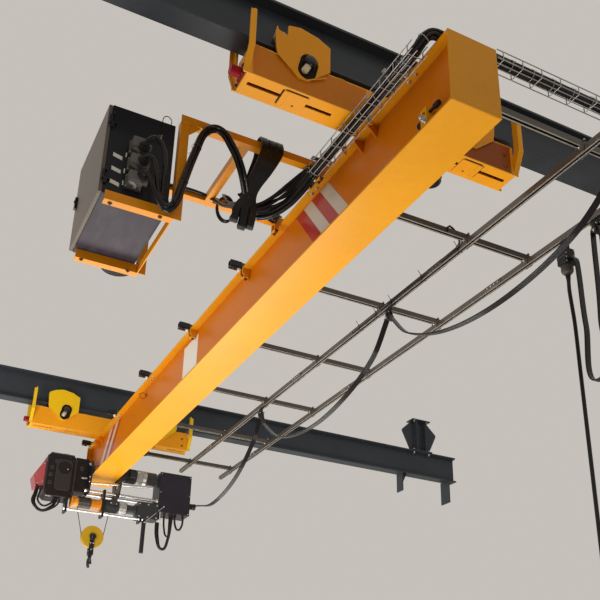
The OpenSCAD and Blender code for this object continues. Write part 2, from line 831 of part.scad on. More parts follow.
// Pendant station: an upright push-button box with a guarded top and a boot
module pendant_station() {
    color(black) place() translate([1606, 1076, 0]) {
        bar_z(0, 0, station_top - 70, station_top, 42);
        difference() {
            block([-38, -34, station_top - 330], [38, 34, station_top - 70]);
            block([-24, -35, station_top - 312], [24, -26, station_top - 92]);
        }
        for (i = [0:4]) bar_y(0, -32, -24, station_top - 114 - 44 * i, 30);
    }
}

// Hoist trolley: side plates beside the bottom flange, joined by rods under the girder
side_in = flange_w / 2 + 12;
side_low = -215;
side_top = 150;
trolley_wheel_z = flange_t + trolley_wheel_r + gap;

module trolley_side() {
    a = side_len / 2;
    difference() {
        along_x(side_in, side_in + side_t) polygon([[-a, -20], [-a + 60, side_low],
            [a - 60, side_low], [a, -20], [a, side_top - 40], [a - 40, side_top],
            [40 - a, side_top], [-a, side_top - 40]]);
        bar_x(side_in - 1, side_in + side_t + 1, 0, -60, 90);
    }
}

bracket_t = 26;
bracket_xs = [-398, 6, 440];
bracket_tops = [-290, -140, -400];

module trolley_frame() {
    color(black) place() translate([0, hoist_y, 0]) {
        for (s = [0, 1]) mirror([s, 0, 0]) trolley_side();
        for (i = [0:2]) {
            x = bracket_xs[i];
            difference() {
                block([x, rod_low_y - 22, rod_low_z - 34], [x + bracket_t, 42, bracket_tops[i]]);
                if (i == 1) bar_x(x - 1, x + bracket_t + 1, rod_ys[0], rod_z, tie_d + 2 * gap);
            }
        }
    }
}

module trolley_wheels() {
    x0 = web_gap / 2 + 8;
    color(steel) place() translate([0, hoist_y, 0])
        for (s = [0, 1], y = [-130, 130]) mirror([s, 0, 0]) {
            bar_x(x0, x0 + trolley_wheel_w, y, trolley_wheel_z, 2 * trolley_wheel_r);
            bar_x(x0 + trolley_wheel_w, side_in, y, trolley_wheel_z, 36);
        }
}

// Tie rods: two bright rods under the girder and one lower rod that carries the rope gear
rod_ys = [-40, 100];
rod_z = -170;
rod_low_y = -62;
rod_low_z = -412;
rod_low_d = 24;

module tie_rods() {
    color("silver") place() translate([0, hoist_y, 0]) {
        for (y = rod_ys) {
            bar_x(-side_in, side_in, y, rod_z, tie_d);
            bar_x(side_in + side_t, control_x0, y, rod_z, tie_d);
        }
        bar_x(bracket_xs[0] + bracket_t, bracket_xs[1], rod_low_y, rod_low_z, rod_low_d);
        bar_x(bracket_xs[1] + bracket_t, bracket_xs[2], rod_low_y, rod_low_z, rod_low_d);
    }
}

// Gearbox: a ribbed black housing in two steps on the left of the trolley
module hoist_gearbox() {
    color(black) place() translate([0, hoist_y, 0]) {
        along_y(-60, 190) polygon([[-640, -260], [-600, -290], [-360, -290], [-330, -260],
            [-330, 160], [-360, 195], [-610, 195], [-640, 160]]);
        along_y(-50, 150) polygon([[-330, -200], [-190, -200], [-176, -186], [-176, 160],
            [-190, 185], [-330, 185]]);
        bar_y(-450, -74, -60, 40, 150);
    }
}

// Brake housing: the red cover on the gearbox's left side
module brake_box() {
    color(red) place() translate([0, hoist_y, 0])
        along_y(-40, 170) polygon([[-640, 90], [-672, 92], [-764, -78], [-728, -205],
            [-640, -175]]);
}

// Rope drum on its shaft between the two hanging brackets
drum_z = -300;

module hoist_drum() {
    color("#e08a18") place() translate([0, hoist_y, 0]) {
        bar_x(-330, 6, 10, drum_z, drum_d);
        for (x = [-318, -6]) bar_x(x, x + 12, 10, drum_z, drum_d + 36);
    }
}

module hoist_motor() {
    color("#3a3b3d") place() translate([0, hoist_y, 0]) {
        bar_x(bracket_xs[1] + bracket_t, 300, 10, drum_z, 132);
        bar_x(300, 410, 10, drum_z, 104);
        block([410, -85, -400], [control_x0, 80, -215]);
    }
}

// Cross-travel motor on the right side plate, with a bright fan cover
module travel_motor() {
    color("#2c2d2f") place() translate([0, hoist_y, 0]) {
        block([side_in + side_t, 10, 60], [250, 150, 150]);
        bar_x(250, 470, 80, 110, 158);
        bar_x(470, 625, 80, 110, 164);
    }
}

// Control box: the flat black counterweight housing on the right end of the rods
control_x0 = 650;
control_x1 = control_x0 + control_w;
control_z = -292;
limit_x = 516;

module control_box() {
    color(black) place() translate([0, hoist_y, 0]) {
        block([control_x0, -60, control_z],
            [control_x1, control_d - 60, control_z + control_h]);
        bar_z(limit_x, 0, -400 - limit_len, -400, limit_d);
        block([control_x1, -60, -205], [rail_in_x + 28, -20, -145]);
    }
}

// Cable loops under the two housings
left_loop = [[-700, 6730, -193], [-705, 6730, -260], [-715, 6724, -380], [-630, 6720, -455],
    [-530, 6724, -400], [-490, 6730, -330], [-490, 6730, -290]];
right_loop = [[700, 6800, -292], [700, 6800, -350], [710, 6790, -560], [770, 6784, -690],
    [835, 6790, -560], [860, 6800, -350], [860, 6800, -292]];
loop_d = 34;

module hoist_cable_loops() {
    color(black) place() {
        cord(left_loop, loop_d, loop_d, [0, 1, 0], 8);
        cord(right_loop, loop_d, loop_d, [0, 1, 0], 8);
    }
}

// Ropes: from the drum and from the frame down to the two sides of the sheave
groove = 12;
sheave_x = -48;
sheave_z = -hook_drop;
rope_low = sheave_z;
rope_top = drum_z - drum_d / 2 - gap;

module rope(x0, z0, x1, z1) {
    v = [x1 - x0, 0, z1 - z0];
    translate([x0, hoist_y, z0]) rotate([0, acos(v[2] / norm(v)), x1 > x0 ? 0 : 180])
        cylinder(d = rope_d, h = norm(v));
}

module hoist_ropes() {
    r = sheave_d / 2 - groove + rope_d / 2 + gap;
    color(steel) place() {
        rope(sheave_x - r, rope_low, -250, rope_top);
        rope(sheave_x + r, rope_low, 110, -366.5);
    }
}

// Hook block: a yellow grooved sheave between two black cheeks, with the hook below
module hook_sheave() {
    r = sheave_d / 2;
    w = sheave_w / 2;
    color("#d8b414") place() translate([sheave_x, hoist_y, sheave_z]) rotate([90, 0, 0])
        rotate_extrude() polygon([[20, -w], [r - 6, -w], [r, -w + 4], [r - groove, -5],
            [r - groove, 5], [r, w - 4], [r - 6, w], [20, w]]);
}

module hook_cheeks() {
    w = sheave_w / 2;
    color(black) place() translate([sheave_x, hoist_y, sheave_z]) {
        bar_y(0, -w - 12, w + 12, 0, 40 - 2 * gap);
        for (s = [-1, 1]) translate([0, s * (w + 6 + gap), 0]) rotate([90, 0, 0])
            translate([0, 0, -6]) linear_extrude(12)
                polygon([[-26, 34], [26, 34], [24, -60], [26, -170], [-26, -170], [-24, -60]]);
        block([-26, -w - 12, -200], [26, w + 12, -150]);
    }
}

// Hook: a forged shank and bend, hanging in the block's crossbar
hook_cz = sheave_z - 285;
hook_turn = 62;

module hook() {
    rm = hook_r + hook_d / 2;
    color(black) place() translate([sheave_x, hoist_y, hook_cz]) rotate(hook_turn) {
        rotate([90, 0, 0]) rotate_extrude(angle = 250) translate([rm, 0]) circle(d = hook_d);
        translate([rm, 0, 0]) cylinder(d1 = hook_d, d2 = hook_d * 0.6, h = 26);
        bar_z(0, 0, rm - 4, sheave_z - hook_cz - 200 - gap, hook_d * 0.9);
    }
}

track_near();
track_far();
track_hangers();
track_stops();
girder_webs();
girder_flanges();
girder_end_plates();
girder_stops();
truck_near();
truck_far();
truck_cheeks();
truck_wheels();
truck_guards();
truck_buffers();
truck_drives();
cabinet_frame();
cabinet_shell();
cabinet_plugs();
cabinet_beacon();
cabinet_door();
festoon_arms();
hoist_rail();
pendant_rail();
cable_trays();
tray_cables();
cabinet_cable();
spare_cable_hank();
hoist_festoon_cable();
pendant_box();
pendant_cable();
pendant_station();
pendant_feed_cable();
pendant_saddle_1();
pendant_saddle_2();
trolley_frame();
trolley_wheels();
tie_rods();
hoist_gearbox();
brake_box();
hoist_drum();
hoist_motor();
travel_motor();
control_box();
hoist_cable_loops();
hoist_ropes();
hook_sheave();
hook_cheeks();
hook();
festoon_saddle_1();
festoon_saddle_2();
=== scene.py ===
"""Looks of an underslung bridge crane, put over its construction frame. Sizes are in metres,
and places are given in millimetres from the middle of the girder's near end, at its bottom."""
import math

import bmesh
import bpy
import numpy as np
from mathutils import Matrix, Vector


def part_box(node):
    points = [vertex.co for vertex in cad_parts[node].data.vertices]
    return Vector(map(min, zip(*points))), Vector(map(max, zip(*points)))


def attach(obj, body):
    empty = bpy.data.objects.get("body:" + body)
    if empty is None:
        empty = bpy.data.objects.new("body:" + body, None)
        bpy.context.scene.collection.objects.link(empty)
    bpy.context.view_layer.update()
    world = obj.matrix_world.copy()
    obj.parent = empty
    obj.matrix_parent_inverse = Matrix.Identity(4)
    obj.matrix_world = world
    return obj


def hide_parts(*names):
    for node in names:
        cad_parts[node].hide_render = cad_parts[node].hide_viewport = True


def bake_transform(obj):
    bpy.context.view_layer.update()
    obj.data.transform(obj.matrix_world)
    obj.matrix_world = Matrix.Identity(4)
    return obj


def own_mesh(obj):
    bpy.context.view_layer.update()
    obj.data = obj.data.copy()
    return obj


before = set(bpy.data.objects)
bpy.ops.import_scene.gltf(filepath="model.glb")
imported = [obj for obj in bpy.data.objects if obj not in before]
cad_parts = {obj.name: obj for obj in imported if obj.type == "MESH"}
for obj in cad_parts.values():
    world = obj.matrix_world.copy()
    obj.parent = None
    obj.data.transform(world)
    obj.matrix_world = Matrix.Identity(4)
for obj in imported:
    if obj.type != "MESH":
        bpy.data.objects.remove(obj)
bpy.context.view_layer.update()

# Camera
# A long lens at a person's eye height below the crane's near left corner, tipped up at the girder.
plate_low, plate_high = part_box("girder_end_plates")
girder = np.array([(plate_low.x + plate_high.x) / 2, plate_low.y, plate_low.z])
eye_turn = (113.12, -1.23, -27.17)


def at(places):
    """Places in millimetres from the girder's near end, carried to metres in the scene."""
    return girder + np.asarray(places, float) / 1000


eye_place = at((-2168, -2497, -2906))
eye = bpy.data.cameras.new("eye")
eye.lens, eye.sensor_width = 51.17, 36.0
eye.shift_y = 1 / 6
camera = bpy.data.objects.new("camera", eye)
camera.location = eye_place
camera.rotation_euler = np.radians(eye_turn)
bpy.context.scene.collection.objects.link(camera)
bpy.context.scene.camera = camera

# Floor and light
# A pale floor a person's height below the camera, a pale sky all round, one broad lamp that
# lights the girder from below, and two weaker ones: at its left and under its near end.
eye_height, floor_half = 1.55, 45.0
floor_z = eye_place[2] - eye_height
floor_mesh = bpy.data.meshes.new("floor")
floor_mesh.from_pydata(
    [(x * floor_half, y * floor_half, floor_z) for x, y in ((-1, -1), (1, -1), (1, 1), (-1, 1))],
    [], [(0, 1, 2, 3)])
floor = bpy.data.objects.new("floor", floor_mesh)
bpy.context.scene.collection.objects.link(floor)
floor_paint = bpy.data.materials.new("floor_paint")
floor_paint.use_nodes = True
floor_skin = floor_paint.node_tree.nodes["Principled BSDF"]
floor_skin.inputs["Base Color"].default_value = (0.62, 0.59, 0.54, 1)
floor_skin.inputs["Roughness"].default_value = 0.85
floor.data.materials.append(floor_paint)

sky = bpy.data.worlds.new("sky")
sky.use_nodes = True
sky.node_tree.nodes["Background"].inputs["Color"].default_value = (0.8, 0.76, 0.7, 1)
sky.node_tree.nodes["Background"].inputs["Strength"].default_value = 0.7
bpy.context.scene.world = sky
bpy.context.scene.view_settings.view_transform = "Standard"


def soft_lamp(name, place, aim, size, power):
    """A square lamp at a place, turned to face the aim point."""
    lamp = bpy.data.lights.new(name, "AREA")
    lamp.shape, lamp.size, lamp.energy = "SQUARE", size, power
    lamp.color = (1.0, 0.96, 0.9)
    stand = bpy.data.objects.new(name, lamp)
    stand.location = at(place)
    way = Vector(at(aim)) - stand.location
    stand.rotation_euler = way.to_track_quat("-Z", "Y").to_euler()
    bpy.context.scene.collection.objects.link(stand)


soft_lamp("lamp_under", (300, 8600, -4300), (300, 8600, 0), 5.5, 425)
soft_lamp("lamp_left", (-3600, 3300, -2400), (-500, 6500, 300), 1.8, 130)
soft_lamp("lamp_near", (500, 2000, -4300), (500, 2000, 0), 3.0, 130)

# Cable jackets
# Black rubbery jackets with a low sheen, fine scuffs along them and a little dust on top.


def add(tree, kind, **facts):
    """A new node of one kind in a tree, with plain attributes set."""
    node = tree.nodes.new("ShaderNode" + kind)
    for name, value in facts.items():
        setattr(node, name, value)
    return node


def worn_group():
    """Colour, roughness and normal of a worn surface, from object coordinates.

    Tone drifts slowly with a broad noise, grain is a fine noise, dust lies where the normal
    points up, and the rim is where the rounded normal leaves the flat one. Draw stretches the
    fine noises along a bar or a sheet's rolling direction."""
    tree = bpy.data.node_groups.new("worn_surface", "ShaderNodeTree")
    colour, number, vector = "NodeSocketColor", "NodeSocketFloat", "NodeSocketVector"
    for name, kind, value in (
            ("Colour", colour, (0.5, 0.5, 0.5, 1)), ("Rim", colour, (0.2, 0.2, 0.2, 1)),
            ("Dust", colour, (0.42, 0.38, 0.33, 1)), ("Tone", number, 0.1),
            ("Grain", number, 60.0), ("Roughness", number, 0.4), ("Spread", number, 0.1),
            ("Bump", number, 0.1), ("Wear", number, 0.3), ("Settled", number, 0.2),
            ("Edge", number, 0.003), ("Draw", vector, (1, 1, 1))):
        tree.interface.new_socket(name, in_out="INPUT", socket_type=kind).default_value = value
    for name, kind in (("Colour", colour), ("Roughness", number), ("Normal", vector)):
        tree.interface.new_socket(name, in_out="OUTPUT", socket_type=kind)
    give, take = tree.nodes.new("NodeGroupInput"), tree.nodes.new("NodeGroupOutput")
    wire = tree.links.new
    place = add(tree, "TexCoord").outputs["Object"]
    drawn = add(tree, "VectorMath", operation="MULTIPLY")
    wire(place, drawn.inputs[0])
    wire(give.outputs["Draw"], drawn.inputs[1])

    def noise(source, detail, scale=None):
        """A noise read at the source's coordinates."""
        node = add(tree, "TexNoise")
        node.inputs["Detail"].default_value = detail
        if scale:
            node.inputs["Scale"].default_value = scale
        wire(source, node.inputs["Vector"])
        return node

    broad = noise(place, 5, 1.7)
    grain = noise(drawn.outputs[0], 4)
    scratch = noise(drawn.outputs[0], 7, 23).outputs[0]
    wire(give.outputs["Grain"], grain.inputs["Scale"])

    def put(value, socket):
        """A number is set in the socket, and an output is wired to it."""
        if isinstance(value, (int, float)):
            socket.default_value = value
        else:
            wire(value, socket)

    def reckon(kind, a, b, clamp=False):
        """One step of arithmetic, a with b, kept between 0 and 1 where clamp is set."""
        node = add(tree, "Math", operation=kind, use_clamp=clamp)
        put(a, node.inputs[0])
        put(b, node.inputs[1])
        return node.outputs[0]

    def mix(share, a, b, kind="MIX"):
        """Colour a mixed with colour b by a share."""
        node = add(tree, "Mix", data_type="RGBA", blend_type=kind)
        put(share, node.inputs[0])
        put(a, node.inputs[6])
        put(b, node.inputs[7])
        return node.outputs[2]

    drift = reckon("SUBTRACT", broad.outputs[0], 0.5)
    fine = reckon("SUBTRACT", scratch, 0.5)
    both = reckon("ADD", reckon("MULTIPLY", drift, 1.4), reckon("MULTIPLY", fine, 0.7))
    shade = reckon("ADD", reckon("MULTIPLY", both, give.outputs["Tone"]), 1.0)
    grey = add(tree, "CombineColor")
    for slot in range(3):
        wire(shade, grey.inputs[slot])
    toned = mix(1.0, give.outputs["Colour"], grey.outputs[0], "MULTIPLY")
    round_off = add(tree, "Bevel", samples=4)
    wire(give.outputs["Edge"], round_off.inputs["Radius"])
    flat = add(tree, "NewGeometry").outputs["Normal"]
    dot = add(tree, "VectorMath", operation="DOT_PRODUCT")
    wire(round_off.outputs[0], dot.inputs[0])
    wire(flat, dot.inputs[1])
    bend = reckon("SUBTRACT", 1.0, dot.outputs["Value"], True)
    ragged = reckon("MULTIPLY", bend, reckon("MULTIPLY", scratch, 9.0))
    rim = reckon("MULTIPLY", reckon("MULTIPLY", ragged, 1.0, True), give.outputs["Wear"])
    rimmed = mix(rim, toned, give.outputs["Rim"])
    up = add(tree, "SeparateXYZ")
    wire(flat, up.inputs[0])
    lying = reckon("MULTIPLY", reckon("MULTIPLY", up.outputs[2], 1.0, True),
                   reckon("MULTIPLY", scratch, 1.7, True))
    dusted = reckon("MULTIPLY", lying, give.outputs["Settled"], True)
    wire(mix(dusted, rimmed, give.outputs["Dust"]), take.inputs["Colour"])
    uneven = reckon("MULTIPLY", reckon("ADD", fine, drift), give.outputs["Spread"])
    rough = reckon("ADD", give.outputs["Roughness"], uneven)
    wire(reckon("ADD", rough, reckon("MULTIPLY", dusted, 0.35), True), take.inputs["Roughness"])
    bump = add(tree, "Bump")
    bump.inputs["Distance"].default_value = 0.0012
    wire(give.outputs["Bump"], bump.inputs["Strength"])
    wire(grain.outputs[0], bump.inputs["Height"])
    wire(round_off.outputs[0], bump.inputs["Normal"])
    wire(bump.outputs[0], take.inputs["Normal"])
    return tree


worn = worn_group()


def finish(name, colour, roughness, metallic=0.0, coat=0.0, coat_roughness=0.1, **facts):
    """A material whose colour, roughness and normal come from the worn surface group."""
    material = bpy.data.materials.new(name)
    material.use_nodes = True
    tree = material.node_tree
    skin = tree.nodes["Principled BSDF"]
    for key, value in (("Metallic", metallic), ("Coat Weight", coat),
                       ("Coat Roughness", coat_roughness), ("Specular IOR Level", 0.18)):
        skin.inputs[key].default_value = value
    group = tree.nodes.new("ShaderNodeGroup")
    group.node_tree = worn
    group.inputs["Colour"].default_value = (*colour, 1)
    group.inputs["Roughness"].default_value = roughness
    for key, value in facts.items():
        is_colour = isinstance(value, tuple) and key != "Draw"
        group.inputs[key].default_value = (*value, 1) if is_colour else value
    for given, taken in (("Colour", "Base Color"), ("Roughness", "Roughness"),
                         ("Normal", "Normal")):
        tree.links.new(group.outputs[given], skin.inputs[taken])
    return material


jacket = finish("jacket", (0.006, 0.006, 0.007), 0.26, coat=0.3, coat_roughness=0.12, Tone=0.5,
                Grain=420.0, Bump=0.18, Wear=0.15, Rim=(0.1, 0.1, 0.1), Settled=0.2, Spread=0.2)

# Tray cables
# Seven round cables laid together: from the hank in a slack bend into the side tray, over the
# girder's near end and along the cross tray, held by thin grey ties.


def loft(rings, closed=True, round_trip=False):
    """The surface through a stack of rings: point j of ring i joins its four neighbours.
    The first and last ring get one face each, or meet where the stack goes round."""
    rings = np.asarray(rings, float)
    m, n = rings.shape[:2]
    i, j = np.meshgrid(np.arange(m if round_trip else m - 1), np.arange(n), indexing="ij")
    a, b = i * n + j, i * n + (j + 1) % n
    faces = np.stack([a, b, (b + n) % (m * n), (a + n) % (m * n)], -1).reshape(-1, 4).tolist()
    if closed and not round_trip:
        faces += [list(range(n))[::-1], list(range((m - 1) * n, m * n))]
    return rings.reshape(-1, 3), faces


def make(name, parts, paint, body, crease=32):
    """One piece from several closed surfaces: their points stacked, their faces renumbered."""
    points, faces, count = [], [], 0
    for verts, part_faces in parts:
        points.append(verts)
        faces += [[k + count for k in face] for face in part_faces]
        count += len(verts)
    mesh = bpy.data.meshes.new(name)
    mesh.from_pydata(np.concatenate(points).tolist(), [], faces)
    work = bmesh.new()
    work.from_mesh(mesh)
    bmesh.ops.recalc_face_normals(work, faces=work.faces)
    work.to_mesh(mesh)
    work.free()
    mesh.shade_smooth()
    mesh.set_sharp_from_angle(angle=math.radians(crease))
    mesh.materials.append(paint)
    piece = bpy.data.objects.new(name, mesh)
    bpy.context.scene.collection.objects.link(piece)
    if body:
        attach(piece, body)
    return piece


def steps_of(line):
    """The distance from each point of a line to the next."""
    return np.linalg.norm(np.diff(line, axis=0), axis=1)


def along_of(line):
    """The distance of each point from a line's start, along it."""
    return np.concatenate([[0], np.cumsum(steps_of(line))])


def smooth(points, step):
    """A line through the given points, evenly spaced.
    Each stretch is the cubic whose end slopes are half the step between the neighbours."""
    p = np.asarray(points, float)
    ends = np.concatenate([[2 * p[0] - p[1]], p, [2 * p[-1] - p[-2]]])
    stretch = 24
    s = np.linspace(0, 1, stretch, endpoint=False)[:, None] + 1 / stretch
    line = [p[:1]]
    for a, b, c, d in zip(ends[:-3], ends[1:-2], ends[2:-1], ends[3:]):
        reach = np.linalg.norm(c - b)
        before = (c - a) / max(np.linalg.norm(c - a), 1e-9) * reach
        after = (d - b) / max(np.linalg.norm(d - b), 1e-9) * reach
        line.append(b * (2 * s**3 - 3 * s**2 + 1) + before * (s**3 - 2 * s**2 + s)
                    + c * (3 * s**2 - 2 * s**3) + after * (s**3 - s**2))
    line = np.concatenate(line)
    along = along_of(line)
    stops = np.linspace(0, along[-1], max(4, round(along[-1] / step)))
    return np.stack([np.interp(stops, along, line[:, k]) for k in range(3)], axis=1)


def frames(line, side):
    """Unit vectors across and square to a line: side made square to the tangent, and their
    product."""
    tangent = np.gradient(line, axis=0)
    tangent /= np.linalg.norm(tangent, axis=1)[:, None]
    across = side - (tangent @ side)[:, None] * tangent
    across /= np.linalg.norm(across, axis=1)[:, None]
    return across, np.cross(tangent, across)


def sweep(line, section, side, swell=1.0):
    """A section carried along a line: its first number goes across, its second square to that.
    Swell is its size at each point of the line."""
    across, upward = frames(line, np.asarray(side, float))
    size = np.broadcast_to(np.asarray(swell, float), len(line))[:, None, None]
    section = np.asarray(section, float)
    return loft(line[:, None] + size * (section[None, :, :1] * across[:, None]
                                        + section[None, :, 1:] * upward[:, None]))


def oval(width, height, sides):
    """Points of an ellipse."""
    angle = np.linspace(0, 2 * math.pi, sides, endpoint=False)
    return np.stack([np.cos(angle) * width / 2, np.sin(angle) * height / 2], axis=1)


def strand_lines(line, side, offsets, twist):
    """Lines beside a line: each keeps its offset, which turns by twist radians a metre."""
    across, upward = frames(line, np.asarray(side, float))
    turn = along_of(line) * twist
    lines = []
    for a, b in offsets:
        u, v = a * np.cos(turn) - b * np.sin(turn), a * np.sin(turn) + b * np.cos(turn)
        lines.append(line + u[:, None] * across + v[:, None] * upward)
    return lines


tray_route = at([
    (-472, 1636, 270), (-432, 1610, 240), (-372, 1545, 236), (-310, 1450, 268), (-262, 1360, 326),
    (-234, 1295, 384), (-225, 1230, 408), (-225, 1150, 408), (-225, 190, 408), (-223, 146, 418),
    (-208, 112, 452), (-168, 100, 486), (-100, 97, 492), (0, 97, 489), (100, 100, 491),
    (180, 104, 509), (230, 105, 512), (1560, 105, 512)])
bundle_d, strand_d, slantwise = 0.063, 0.021, (1, 1, 0)
tray_line = smooth(tray_route, 0.02)
six = np.arange(6) * math.pi / 3
around = [(0.0, 0.0)] + list(zip(strand_d * np.cos(six), strand_d * np.sin(six)))
strands = strand_lines(tray_line, slantwise, around, 1.1)
tray_cables = make("tray_cable_bundle",
                   [sweep(s, oval(strand_d, strand_d, 10), slantwise) for s in strands],
                   jacket, "bridge")
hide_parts("tray_cables")

# Slack cables at the hank
# Six more round cables that leave the hank's tie and rise side by side like a sheet above the
# bundle, then come together at the end of the side tray.


def lay_cable(name, line, wide, side=(0, 1, 0), corners=12, body="bridge",
              replaced=None, section=None):
    """A jacketed cable: its section, a circle where none is given, carried along its line."""
    section = oval(wide, wide, corners) if section is None else section
    cable = make(name, [sweep(line, section, side)], jacket, body)
    if replaced:
        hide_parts(replaced)
    return cable


slack_lines = []
for number in range(6):
    t, sway = number / 5, 14 * math.sin(2.6 * number)
    slack_route = at([
        (-598 + 12 * t, 1436 + 30 * t, 196 - 22 * t),
        (-545 + 8 * t, 1478 + 34 * t, 214 - 24 * t),
        (-478 + 18 * t, 1504 + 26 * t, 240 - 20 * t + sway),
        (-402 + 30 * t, 1462 + 38 * t, 296 - 40 * t + sway),
        (-336 + 44 * t, 1396 + 16 * t, 366 - 84 * t),
        (-280 + 28 * t, 1318 - 10 * t, 420 - 58 * t),
        (-256 + 62 * t, 1236, 426 - 30 * math.sin(math.pi * t))])
    slack_lines.append(smooth(slack_route, 0.012))
    lay_cable(f"slack_lead_{number + 1}", slack_lines[-1], 0.019, slantwise, 10)

# Cabinet cables
# Three thick round cables leave the plugs' collars, curl over, drop, and run up together to the
# frame's near arm, where they are tied, and down to the hank.
cabinet_route = at([
    (-1143, 1200, -212), (-1092, 1204, -160), (-1062, 1210, -45), (-1022, 1224, 129),
    (-988, 1230, 262), (-958, 1231, 370), (-917, 1231, 428), (-869, 1231, 447), (-820, 1232, 426),
    (-782, 1236, 379), (-732, 1250, 316), (-680, 1290, 250), (-630, 1360, 205), (-596, 1420, 186)])
plug_mouths = ((-1276, -42), (-1281, 50), (-1285, 142))
lead_starts = (
    [(-1268, 1166, -48), (-1240, 1158, -92), (-1208, 1172, -158)],
    [(-1273, 1160, 52), (-1238, 1146, 30), (-1214, 1152, -50), (-1190, 1176, -150)],
    [(-1276, 1160, 158), (-1240, 1142, 172), (-1194, 1144, 118), (-1176, 1150, 10),
     (-1170, 1172, -100)])
lead_shifts = ((0.0, -0.0144), (-0.0125, 0.0072), (0.0125, 0.0072))
for number, ((x, z), start, shift) in enumerate(zip(plug_mouths, lead_starts, lead_shifts)):
    rest = strand_lines(cabinet_route, (0, 1, 0), [shift], 0.0)[0]
    lead_line = smooth(np.concatenate([at([(x, 1186, z)] + start), rest]), 0.015)
    lay_cable(f"cabinet_lead_{number + 1}", lead_line, 0.025, corners=14,
              replaced=None if number else "cabinet_cable")

# Spare cable hank
# Flat control cable put away as three loops over the frame's near arm: pinched by a tie below
# the arm, with the folds fanned out under it.
flat_w, flat_t, cores = 0.046, 0.013, 5


def flat_section(width, thick):
    """A flat cable's section: both faces scalloped once for each core, the edges rounded."""
    valley, rounding = 0.82, 0.18
    across = np.linspace(-1, 1, cores * 6 + 1)
    ripple = valley + rounding * np.abs(np.cos(across * cores * math.pi / 2))
    past = np.clip(np.abs(across) - valley, 0, 1) / rounding
    rim = np.sqrt(np.clip(1 - past**2, 0.0, 1))
    top = np.stack([across * width / 2, thick / 2 * ripple * np.maximum(rim, 0.25)], axis=1)
    return np.concatenate([top, top[::-1] * (1, -1)])


hank_ways = [[(-640, 1404, 176)]]
for top, tie, foot, deep in ((-570, -614, -650, -14), (-521, -590, -600, 22), (-472, -567, -548, 4)):
    middle = (top + tie) / 2
    hank_ways.append([
        (tie, 1408, 196), (middle, 1374, 322), (top, 1340, 440), (top, 1328, 500),
        (top, 1286, 526 - deep / 2), (top, 1238, 504), (top, 1228, 430), (middle, 1262, 310),
        (tie, 1344, 214), (tie, 1384, 168), (foot, 1412, 104), (foot, 1436, 46 - deep),
        (foot + 6, 1474, 26 - deep), (foot + 12, 1496, 66 - deep), (tie + 14, 1454, 146)])
hank_ways.append([(-552, 1430, 200), (-526, 1500, 262), (-500, 1590, 286), (-482, 1640, 284)])
lay_cable("spare_flat_cable", smooth(at(np.concatenate(hank_ways)), 0.012), flat_w, (1, 0, 0),
          replaced="spare_cable_hank",
          section=flat_section(flat_w, flat_t))

# Ring of thin cable
# Two turns of thin black cable hung on the frame's far arm beside the hank, the cables that
# lie along that arm, and a small knot of thin cable where they meet the girder.
turns = np.linspace(0.5 * math.pi, 4.5 * math.pi, 50)
ring_points = np.stack([-558 + 56 * np.cos(turns), 1878 - 9 * (turns - turns[0]) / math.pi,
                        398 + 92 * np.sin(turns)], axis=1)
ring_line = smooth(at(np.concatenate([
    [(-490, 1890, 470), (-520, 1886, 488)], ring_points,
    [(-606, 1790, 450), (-604, 1690, 330), (-588, 1560, 250), (-580, 1470, 205)]])), 0.008)
lay_cable("ring_cable", ring_line, 0.014, corners=8)
far_lead_line = smooth(at([
    (-560, 1450, 178), (-520, 1540, 226), (-490, 1640, 300), (-468, 1740, 372),
    (-430, 1830, 430), (-370, 1872, 462), (-300, 1880, 472), (-232, 1880, 474),
    (-192, 1878, 470)]), 0.015)
lay_cable("far_arm_lead", far_lead_line, 0.024)
knot_turn = np.linspace(0, 4 * math.pi, 56)
knot_points = np.stack([-214 + 38 * np.cos(knot_turn), 1866 - 16 * np.cos(knot_turn / 2),
                        448 + 32 * np.sin(knot_turn) + 2 * knot_turn], axis=1)
knot_line = smooth(at(np.concatenate([[(-300, 1862, 494)], knot_points,
                                      [(-150, 1872, 484)]])), 0.006)
lay_cable("far_arm_knot", knot_line, 0.013, corners=8)
arm_line = smooth(at([
    (-1100, 1868, 330), (-1070, 1868, 338), (-1020, 1872, 392), (-960, 1876, 446),
    (-900, 1879, 472), (-800, 1880, 480), (-700, 1878, 474), (-650, 1850, 440),
    (-618, 1760, 350), (-600, 1640, 268), (-592, 1540, 216), (-590, 1470, 190)]), 0.015)
lay_cable("far_arm_cable", arm_line, 0.024)

# Festoon cable
# A flat cable of five cores, fixed at the near end of the hoist's rail, slung over two saddles and
# led to the hoist.
hoist_rail_x, hoist_saddles, hoist_run = 1070, (2440, 4830), 6.23


def over_saddle(y):
    """The bend of a flat cable over a saddle: five places, as y and z."""
    return [(y - 33, 300), (y - 23, 330), (y, 340), (y + 23, 330), (y + 33, 300)]


festoon_way = [(80, 360), (80, 320), (170, 130), (520, -80), (1100, -180), (1700, -130),
               (2180, 60), *over_saddle(hoist_saddles[0]), (2700, 60), (3200, -120),
               (3750, -170), (4350, -60), (4740, 200), *over_saddle(hoist_saddles[1]),
               (4980, 110), (5450, -180), (6050, -290), (6520, -200), (6630, -175), (6670, -175)]
festoon_route = at([(hoist_rail_x, y, z) for y, z in festoon_way])
festoon = lay_cable("festoon_flat_cable", smooth(festoon_route, 0.02), flat_w, (1, 0, 0),
                    replaced="hoist_festoon_cable", section=flat_section(flat_w, flat_t))
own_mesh(festoon)

